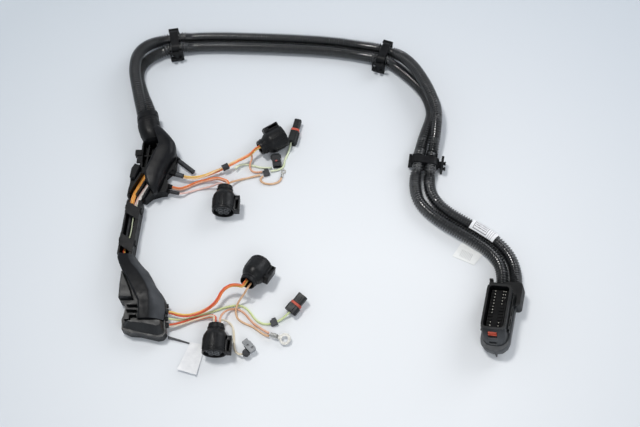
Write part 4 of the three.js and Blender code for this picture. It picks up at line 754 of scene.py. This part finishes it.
# What is on each bundle, its turns and its strands; what is on each single wire and its colour
BUNDLES = {
    "wire_upper_tan": (("injector_plug_1_shell", "injector_plug_1_contacts", "sleeve_tape"),
                       0.75, ("yellow", "orange", "pale_tan")),
    "wire_upper_orange": (("injector_plug_2_shell", "injector_plug_2_contacts"),
                          0.4, ("orange", "red", "salmon")),
    "wire_lower_c3": (("injector_plug_3_shell", "injector_plug_3_contacts"),
                      0.8, ("yellow", "orange", "red")),
    "wire_lower_c4": (("injector_plug_4_shell", "injector_plug_4_contacts"),
                      0.5, ("red", "orange", "cream")),
}
SINGLES = {
    "wire_upper_pink": (("injector_plug_2_shell", "injector_plug_2_contacts"), "rose"),
    "wire_upper_green": (("flat_plug",), "pale_green"),
    "wire_upper_brown": (("splice_clip_upper",), "tan"),
    "wire_upper_loop": (("ring_terminal_upper",), "tan"),
    "wire_upper_sensor": (("sensor_plug_upper", "sensor_plug_upper_seal", "splice_clip_upper"),
                          "pale_green"),
    "wire_lower_pink": (("ring_terminal_lower",), "salmon"),
    "wire_lower_tan": (("ring_terminal_lower",), "tan"),
    "wire_lower_terminal": (("terminal_boot", "terminal_housing"), "cream"),
}


def make_wires():
    for name, (ends, turns, colours) in BUNDLES.items():
        line = spline(ROUTES[name], WIRE_STEP)
        for i, colour in enumerate(colours):
            points = strand_points(line, STRAND_REACH, 90 + 120 * i, turns)
            replaced = (name,) if i == 0 else ()
            made = wire(f"{name}_{colour}", points, STRAND, WIRE_FINISH[colour], *replaced,
                        slot=name)
    for name, (ends, colour) in SINGLES.items():
        points = spline(ROUTES[name], WIRE_STEP)
        made = wire(name + "_lead", points, WIRE, WIRE_FINISH[colour], name, slot=name)
    green = spline(ROUTES["wire_lower_green"] + ROUTES["wire_lower_sensor"][::-1], WIRE_STEP)
    made = wire("wire_lower_green_lead", green, WIRE, WIRE_FINISH["green"],
                "wire_lower_green", "wire_lower_sensor", slot="wire_lower_green")
    branch = spline(ROUTES["wire_upper_tan"][8:11] + ROUTES["wire_upper_pink_loop"], WIRE_STEP)
    made = wire("wire_upper_pink_loop_lead", branch, WIRE, WIRE_FINISH["salmon"],
                "wire_upper_pink_loop", slot="wire_upper_pink_loop")


# Wires of the duct: flat strips side by side up to the first strap, then a taped bundle

def part_of(name, first, last):
    return [p for p in spline(ROUTES[name], WIRE_STEP) if last <= p.y <= first]


def strip(name, points, spread, diameter, colours, slot, shift=0.0):
    frames = side_frames(points)
    for i, colour in enumerate(colours):
        offset = spread * (i - (len(colours) - 1) / 2) + shift
        bm = bmesh.new()
        line = [point + side * offset for point, side, _ in frames]
        swept(bm, line, [diameter / 2] * len(line), 12)
        piece(f"{name}_{i + 1}", bm, WIRE_FINISH[colour], slot, slot=slot, sharp=60)


def make_duct_wires():
    strip("duct_strip_orange", part_of("duct_wire_orange", 1, -0.026), 0.00148, 0.0016,
          ("amber", "orange_yellow", "amber"), "duct_wire_orange")
    bm = bmesh.new()
    bundle = part_of("duct_wire_orange", -0.022, -0.077)
    swept(bm, bundle, [0.002] * len(bundle), 16)
    piece("duct_taped_bundle", bm, SHRINK, "duct_wire_orange", slot="upper_boot", sharp=60)
    strip("duct_end_orange", part_of("duct_wire_orange", -0.074, -1), 0.0014, 0.0014,
          ("orange_yellow", "red"), "duct_wire_orange")
    strip("duct_strip_white", part_of("duct_wire_white", 1, -0.026), 0.00158, 0.0017,
          ("white", "white", "rose"), "duct_wire_white", shift=0.001)
    strip("duct_lead_white", part_of("duct_wire_white", -0.022, -1), 0.0016, 0.0014,
          ("white",), "duct_wire_white")
    strip("duct_lead_green", part_of("duct_wire_green", 1, -1), 0.0014, 0.0012,
          ("pale_green",), "duct_wire_green")


# Round injector plugs: each with its place, azimuth, tilt, roll, and the radius and depth
# of the hollow that its wires go into

INJECTORS = {
    "injector_plug_1": ((-0.0618, 0.0456, 0.01245), 33, 0, 20, 0.0057, 0.004),
    "injector_plug_2": ((-0.0976, -0.0026, 0.01245), -91, 0, 0, 0.0057, 0.004),
    "injector_plug_3": ((-0.0696, -0.1194, 0.02143), 63, -18, 180, 0.0071, 0.006),
    "injector_plug_4": ((-0.0992, -0.1604, 0.01245), -92, 0, 0, 0.0057, 0.004),
}


def injector_shell(entry, depth):
    bm = bmesh.new()
    lathed(bm, [
        (0, depth), (entry, depth), (entry, 0.0004), (entry + 0.0004, 0), (0.0076, 0),
        (0.0080, 0.0004),
        (0.0082, 0.0016), (0.0082, 0.0037), (0.0088, 0.0042), (0.0089, 0.0048), (0.0088, 0.0054),
        (0.0083, 0.0059), (0.0084, 0.0067), (0.0094, 0.0078), (0.0110, 0.0104), (0.0118, 0.0120),
        (0.01215, 0.0132), (0.01225, 0.0145), (0.01225, 0.0268), (0.01195, 0.0272),
        (0.01195, 0.0280),
        (0.01225, 0.0284), (0.01222, 0.0302), (0.0119, 0.0308), (0.0113, 0.031), (0.0106, 0.0309),
        (0.01035, 0.0304), (0.01035, 0.0192), (0, 0.0192),
    ], steps=64)
    for angle, width, length in ((60, 0.0016, 0.015), (120, 0.0016, 0.015), (0, 0.0016, 0.015),
                                 (75, 0.0008, 0.012), (105, 0.0008, 0.012), (20, 0.0008, 0.01)):
        turn = Matrix.Rotation(math.radians(angle), 4, "Y")
        block(bm, (width, length, 0.0012), turn @ Vector((0, 0.0215, 0.0121)), turn)
    block(bm, (0.0024, 0.0172, 0.0104), (-0.0118, 0.0215, 0), edge=0.0005)
    block(bm, (0.0014, 0.0172, 0.0100), (-0.0161, 0.0215, 0), edge=0.0005)
    block(bm, (0.0062, 0.0054, 0.0104), (-0.0136, 0.0156, 0), edge=0.0006)
    block(bm, (0.0062, 0.0014, 0.0104), (-0.0136, 0.0297, 0), edge=0.0004)
    block(bm, (0.0044, 0.0120, 0.0016), (-0.0139, 0.0235, -0.0024), edge=0.0002)
    for z in (-0.0031, 0.0031):
        block(bm, (0.0006, 0.0090, 0.0016), (-0.01655, 0.0225, z), edge=0.0002)
    return bm


def injector_core():
    bm = bmesh.new()
    lathed(bm, [(0, 0.0194), (0.0081, 0.0194), (0.0078, 0.0284), (0.0075, 0.0292), (0.0070, 0.0293),
                (0.0066, 0.0288), (0.0064, 0.0276), (0, 0.0276)], steps=48)
    for angle in (45, 135, 225, 315):
        at = (0.0041 * math.cos(math.radians(angle)), 0, 0.0041 * math.sin(math.radians(angle)))
        lathed(bm, [(0.0016, 0.0255), (0.0016, 0.0303), (0.0019, 0.0307), (0.0025, 0.0307),
                    (0.0028, 0.0303), (0.0028, 0.0255)], at, steps=24)
    block(bm, (0.0022, 0.0092, 0.0020), (0, 0.0242, 0.0079))
    for angle in (80, 200, 320):
        turn = Matrix.Rotation(math.radians(angle), 4, "Y")
        block(bm, (0.0034, 0.0100, 0.0009), turn @ Vector((0, 0.0246, 0.0079)), turn)
    return bm


def make_injectors():
    for name, (at, azimuth, tilt, roll, entry, depth) in INJECTORS.items():
        matrix = placing(at, azimuth, tilt, roll)
        shell, core = injector_shell(entry, depth), injector_core()
        settled(shell, matrix)
        settled(core, matrix)
        piece(name + "_shell", shell, PLUG_BLACK, name, slot="conduit_clip_left", sharp=30)
        piece(name + "_contacts", core, CORE_GREY, name + "_core", slot="conduit_clip_left",
              sharp=30)


# Multi-way plug: bright tips of the contacts that are fitted, by column and row from the far end

PLUG_PLACE = (Matrix.Translation((0.1874, -0.1528, 0.00213))
              @ Matrix.Rotation(math.radians(-13.8), 4, "Z")
              @ Matrix.Rotation(math.radians(-18), 4, "Y"))
CONTACT_TIP = (0.0009, 0.0007, 0.0008)
CONTACT_PITCH = 0.0034
CONTACT_LIFT = 0.0299
CONTACTS = {
    -0.0041: (0, 1, 2, 3, 4, 5, 6, 7, 10, 11),
    0.0041: (0, 1, 2, 3, 4, 10, 11),
    0.0062: (0, 1, 2),
}


def make_contacts():
    bm = bmesh.new()
    for x, rows in CONTACTS.items():
        for row in rows:
            block(bm, CONTACT_TIP, (x, (5.5 - row) * CONTACT_PITCH, CONTACT_LIFT), edge=0.0001)
    settled(bm, PLUG_PLACE)
    piece("plug_contacts", bm, CONTACT_METAL, slot="ring_terminal_upper")


# Printed wrap on the outer conduit

WRAP_OUTER = 0.0072
WRAP_INNER = 0.0067
WRAP_ANGLES = [math.radians(30 + 6 * k) for k in range(29)]


def make_wrap():
    route = conduit_route(True)
    path = spline(route, 0.001)
    first = min(range(len(path)), key=lambda i: (path[i] - Vector(route[-9])).length) + 5
    last = min(range(len(path)), key=lambda i: (path[i] - Vector(route[-7])).length)
    bm = bmesh.new()
    uv = bm.loops.layers.uv.new("UVMap")
    last_angle = len(WRAP_ANGLES) - 1
    outer, inner, place = [], [], {}
    for i, (point, side, up) in enumerate(side_frames(path)[first:last + 1]):
        for radius, store in ((WRAP_OUTER, outer), (WRAP_INNER, inner)):
            row = [bm.verts.new(point + (side * math.cos(a) + up * math.sin(a)) * radius)
                   for a in WRAP_ANGLES]
            for k, vert in enumerate(row):
                place[vert] = (i / (last - first), k / last_angle)
            store.append(row)
    for rows in (outer, inner):
        for a, b in zip(rows, rows[1:]):
            for k in range(last_angle):
                bm.faces.new((a[k], a[k + 1], b[k + 1], b[k]))
    for k in (0, last_angle):
        for i in range(len(outer) - 1):
            bm.faces.new((outer[i][k], outer[i + 1][k], inner[i + 1][k], inner[i][k]))
    for i in (0, len(outer) - 1):
        for k in range(last_angle):
            bm.faces.new((outer[i][k], outer[i][k + 1], inner[i][k + 1], inner[i][k]))
    for face in bm.faces:
        for loop in face.loops:
            loop[uv].uv = place[loop.vert]
    piece("conduit_wrap", bm, BAND, "conduit_label", slot="conduit_label")


# Smooth lid of the upper housing: [left x, left y, right x, right y, top] in millimetres

LID_STATIONS = (
    (-181, 72, -176.8, 74, 22), (-178.5, 65, -168.8, 66.6, 25), (-174, 54, -159.4, 56.2, 27),
    (-171, 44, -153.8, 48.2, 27.4), (-174, 36.4, -152.2, 41, 27.4),
    (-177.2, 28, -152.6, 33.8, 27), (-180.6, 18, -157.6, 24.4, 26.6),
    (-183.4, 8.6, -161.6, 13.6, 26), (-180.4, -1.6, -164.6, 3.6, 25),
    (-176.2, -9.2, -167, -5.4, 22.6), (-172.6, -14.4, -169.4, -12, 19),
)
LID_BOTTOM = 13.3
LID_SECTION = ((0, 0.8), (0.008, 0.9), (0.04, 0.975), (0.1, 1), (0.3, 1.0), (0.52, 0.985),
               (0.74, 0.92), (0.9, 0.76), (0.98, 0.5), (1, 0.24), (0.985, 0.0))


def picked(line, count):
    return [line[round(i * (len(line) - 1) / (count - 1))] for i in range(count)]


def make_lid():
    sections = []
    for left_x, left_y, right_x, right_y, top in LID_STATIONS:
        points = [(left_x + (right_x - left_x) * share, left_y + (right_y - left_y) * share,
                   LID_BOTTOM + (top - LID_BOTTOM) * height) for share, height in LID_SECTION]
        curve = picked(spline(points, 0.2), 28)
        sections.append([Vector((left_x, left_y, LID_BOTTOM))] + curve)
    lines = [picked(spline(line, 0.25), 60) for line in zip(*sections)]
    bm = bmesh.new()
    lofted(bm, [[p * 0.001 for p in ring] for ring in zip(*lines)])
    piece("upper_lid", bm, SATIN, "upper_cover", slot="conduit_clip_left", sharp=50)


# Boot of the upper housing: [x, y, azimuth, width, height, lift] in millimetres, from its
# closed end to its rim, and back in to where the conduits end

BOOT_STATIONS = (
    (-177.8, 52, 99, 13, 15, 3), (-178.6, 54, 100, 18.5, 20.5, 1.4),
    (-180.2, 58, 100, 21.6, 24, 0.5), (-182, 63, 101, 23.6, 25, 0.4),
    (-183.9, 70, 104, 24.8, 25.8, 0.3), (-185, 74.6, 105, 25, 26, 0.3),
    (-185.2, 75.2, 106, 23.8, 25.2, 0.3), (-186.2, 79.6, 107, 23.2, 25.2, 0.3),
    (-186.4, 80.4, 107, 24, 26, 0.3), (-187.4, 86, 108, 24, 26, 0.3),
    (-187.6, 87, 108, 23.2, 25.4, 0.5), (-187.5, 86.6, 108, 21.8, 24.2, 0.8),
    (-185, 75.5, 106, 21.8, 23.8, 0.8),
)
BOOT_SIDES = 40
BOOT_ROUNDNESS = 0.85


def make_boot():
    rings = []
    for x, y, azimuth, width, height, lift in BOOT_STATIONS:
        turn = math.radians(azimuth)
        across = Vector((-math.sin(turn), math.cos(turn), 0))
        ring = []
        for k in range(BOOT_SIDES):
            angle = 2 * math.pi * k / BOOT_SIDES
            reach = [math.copysign(abs(wave) ** BOOT_ROUNDNESS, wave) / 2
                     for wave in (math.cos(angle), math.sin(angle))]
            ring.append((Vector((x, y, lift + height / 2)) + across * width * reach[0]
                         + Vector((0, 0, height * reach[1]))) * 0.001)
        rings.append(ring)
    bm = bmesh.new()
    lofted(bm, rings)
    piece("conduit_boot", bm, BLACK, "upper_boot", slot="upper_boot", sharp=24)


# Finishes of the carried-over pieces

def soften_node(name, material, edge):
    """A CAD node keeps its shape and gets a finish and softly rounded edges."""
    node = nodes[name]
    if "custom_normal" in node.data.attributes:
        node.data.attributes.remove(node.data.attributes["custom_normal"])
    node.data.shade_smooth()
    node.data.materials.clear()
    node.data.materials.append(material)
    weld = node.modifiers.new("weld", "WELD")
    weld.merge_threshold = 1e-6
    flats = node.modifiers.new("flats", "DECIMATE")
    flats.decimate_type = "DISSOLVE"
    flats.angle_limit = math.radians(1.5)
    bevel = node.modifiers.new("edges", "BEVEL")
    bevel.width = edge
    bevel.segments = 2
    bevel.profile = 0.5
    bevel.limit_method = "ANGLE"
    bevel.angle_limit = math.radians(32)
    shading = node.modifiers.new("shading", "WEIGHTED_NORMAL")
    shading.keep_sharp = True


make_camera()
make_room()
RIBBED = ribbed()
BLACK = moulded("black_moulded", (0.003, 0.0033, 0.0039), (0.0062, 0.0067, 0.0078),
                0.42, 0.12, shine=0.16)
SATIN = moulded("satin_black_moulded", (0.003, 0.0034, 0.0046), (0.0052, 0.0058, 0.0076),
                0.36, 0.05, 0.6, shine=0.2)
# black for the lower cover, with a painted sheen on its slopes that face right
BLACK_PAINTED_SHEEN = moulded("black_moulded_painted_sheen", (0.003, 0.0034, 0.0044), (0.0056, 0.0062, 0.0078),
                      0.44, 0.06, 0.6, shine=0.16, right=(0.05, 0.054, 0.06))
PLUG_BLACK = moulded("plug_black_moulded", (0.0035, 0.0038, 0.0044), (0.0085, 0.009, 0.0102),
                     0.38, 0.2, shine=0.22)
CARRIER_BLACK = moulded("carrier_black_moulded", (0.0016, 0.0017, 0.002), (0.003, 0.0032, 0.0036),
                        0.6, 0.05, shine=0.14)
CORE_GREY = moulded("core_grey_moulded", (0.07, 0.073, 0.078), (0.11, 0.115, 0.12),
                    0.45, 0.2)
GREY = moulded("grey_moulded", (0.036, 0.039, 0.043), (0.056, 0.06, 0.066), 0.5, 0.3)
SHELL_GREY = moulded("shell_grey_moulded", (0.06, 0.063, 0.067), (0.1, 0.105, 0.111),
                     0.5, 0.3, shine=0.16, far=((0.005, 0.0055, 0.0062), -0.154, -0.142))
FLAT_GREY = moulded("flat_plug_moulded", (0.012, 0.013, 0.015), (0.03, 0.032, 0.035),
                    0.42, 0.6, spot=((0.35, 0.08, 0.07), (-0.0437, 0.0326, 0.009), 0.0022))
DARK_GREY = moulded("dark_grey_moulded", (0.008, 0.009, 0.01), (0.016, 0.0175, 0.019),
                    0.42, 0.25)
SHROUD = moulded("shroud_moulded", (0.05, 0.053, 0.057), (0.075, 0.079, 0.084),
                 0.42, 0.3, shine=0.2, far=((0.0065, 0.0072, 0.008), -0.182, -0.172))
PALE_GREY = moulded("pale_grey_moulded", (0.2, 0.21, 0.22), (0.3, 0.31, 0.32), 0.5, 0.3)
LOCK_RED = moulded("red_moulded", (0.34, 0.035, 0.014), (0.46, 0.06, 0.025), 0.42, 0.15)
SEAL_RED = rubbery("red_seal", (0.55, 0.09, 0.05), (0.42, 0.06, 0.035))
SHRINK = rubbery("shrink_sleeve", (0.01, 0.011, 0.014), (0.02, 0.022, 0.027))
TIN = tinned("tinned_metal")
TAPE = woven("white_tape", 330)
BAND = printed_band()
PAPER = tag_paper()
CONTACT_METAL = insulation("contact_tips", (0.6, 0.58, 0.52), (0.44, 0.42, 0.36))
WIRE_FINISH = {
    "amber": insulation("amber_insulation", (0.85, 0.36, 0.06), (0.7, 0.25, 0.04)),
    "white": insulation("white_insulation", (0.88, 0.86, 0.83), (0.8, 0.72, 0.68)),
    "yellow": insulation("yellow_insulation", (0.82, 0.55, 0.16), (0.72, 0.42, 0.1)),
    "orange": insulation("orange_insulation", (0.82, 0.22, 0.06), (0.68, 0.15, 0.04)),
    "red": insulation("red_insulation", (0.72, 0.11, 0.04), (0.55, 0.07, 0.03)),
    "rose": insulation("rose_insulation", (0.78, 0.55, 0.5), (0.7, 0.42, 0.36)),
    "salmon": insulation("salmon_insulation", (0.75, 0.42, 0.28), (0.62, 0.3, 0.18)),
    "pale_tan": insulation("pale_tan_insulation", (0.82, 0.58, 0.32), (0.74, 0.46, 0.2)),
    "tan": insulation("tan_insulation", (0.72, 0.48, 0.3), (0.6, 0.34, 0.18)),
    "cream": insulation("cream_insulation", (0.76, 0.7, 0.56), (0.66, 0.56, 0.4)),
    "green": insulation("green_insulation", (0.66, 0.75, 0.4), (0.56, 0.65, 0.28)),
    "orange_yellow": insulation("orange_yellow_insulation", (0.88, 0.5, 0.12), (0.8, 0.4, 0.08)),
    "pale_green": insulation("pale_green_insulation", (0.74, 0.8, 0.6), (0.65, 0.72, 0.46)),
}
make_conduit("conduit_outer", True, RIBBED)
make_conduit("conduit_inner", False, RIBBED)
make_injectors()
make_wires()
make_duct_wires()
make_contacts()
make_wrap()
make_lid()
make_boot()

KEPT = {
    "conduit_clip_left": (BLACK, 0.0004), "conduit_clip_right": (BLACK, 0.0004),
    "conduit_clip_lower": (BLACK, 0.0004), "plug_backshell": (SHELL_GREY, 0.0006),
    "plug_housing": (SHROUD, 0.0005), "plug_insert": (CARRIER_BLACK, 0.0002),
    "plug_lock": (LOCK_RED, 0.0003), "upper_base": (BLACK, 0.0004),
    "duct_channel": (BLACK, 0.0004), "lower_base": (DARK_GREY, 0.0004),
    "lower_cover": (BLACK_PAINTED_SHEEN, 0.0006), "sensor_plug_upper": (DARK_GREY, 0.0004),
    "sensor_plug_lower": (DARK_GREY, 0.0004), "sensor_plug_upper_seal": (SEAL_RED, 0.0004),
    "sensor_plug_lower_seal": (SEAL_RED, 0.0004), "flat_plug": (FLAT_GREY, 0.0004),
    "terminal_housing": (PALE_GREY, 0.0004), "terminal_boot": (SHRINK, 0.0004),
    "splice_clip_upper": (GREY, 0.0003), "splice_clip_lower": (GREY, 0.0003),
    "ring_terminal_upper": (TIN, 0.0002), "ring_terminal_lower": (TIN, 0.0002),
    "sleeve_blank": (SHRINK, 0.0003), "sleeve_grey": (GREY, 0.0003),
    "sleeve_dark": (SHRINK, 0.0003), "sleeve_tape": (SHRINK, 0.0003), "tag_tie": (GREY, 0.0002),
    "white_tag": (TAPE, 0.0001), "conduit_tag": (PAPER, 0.0001),
}
for name, (material, edge) in KEPT.items():
    soften_node(name, material, edge)
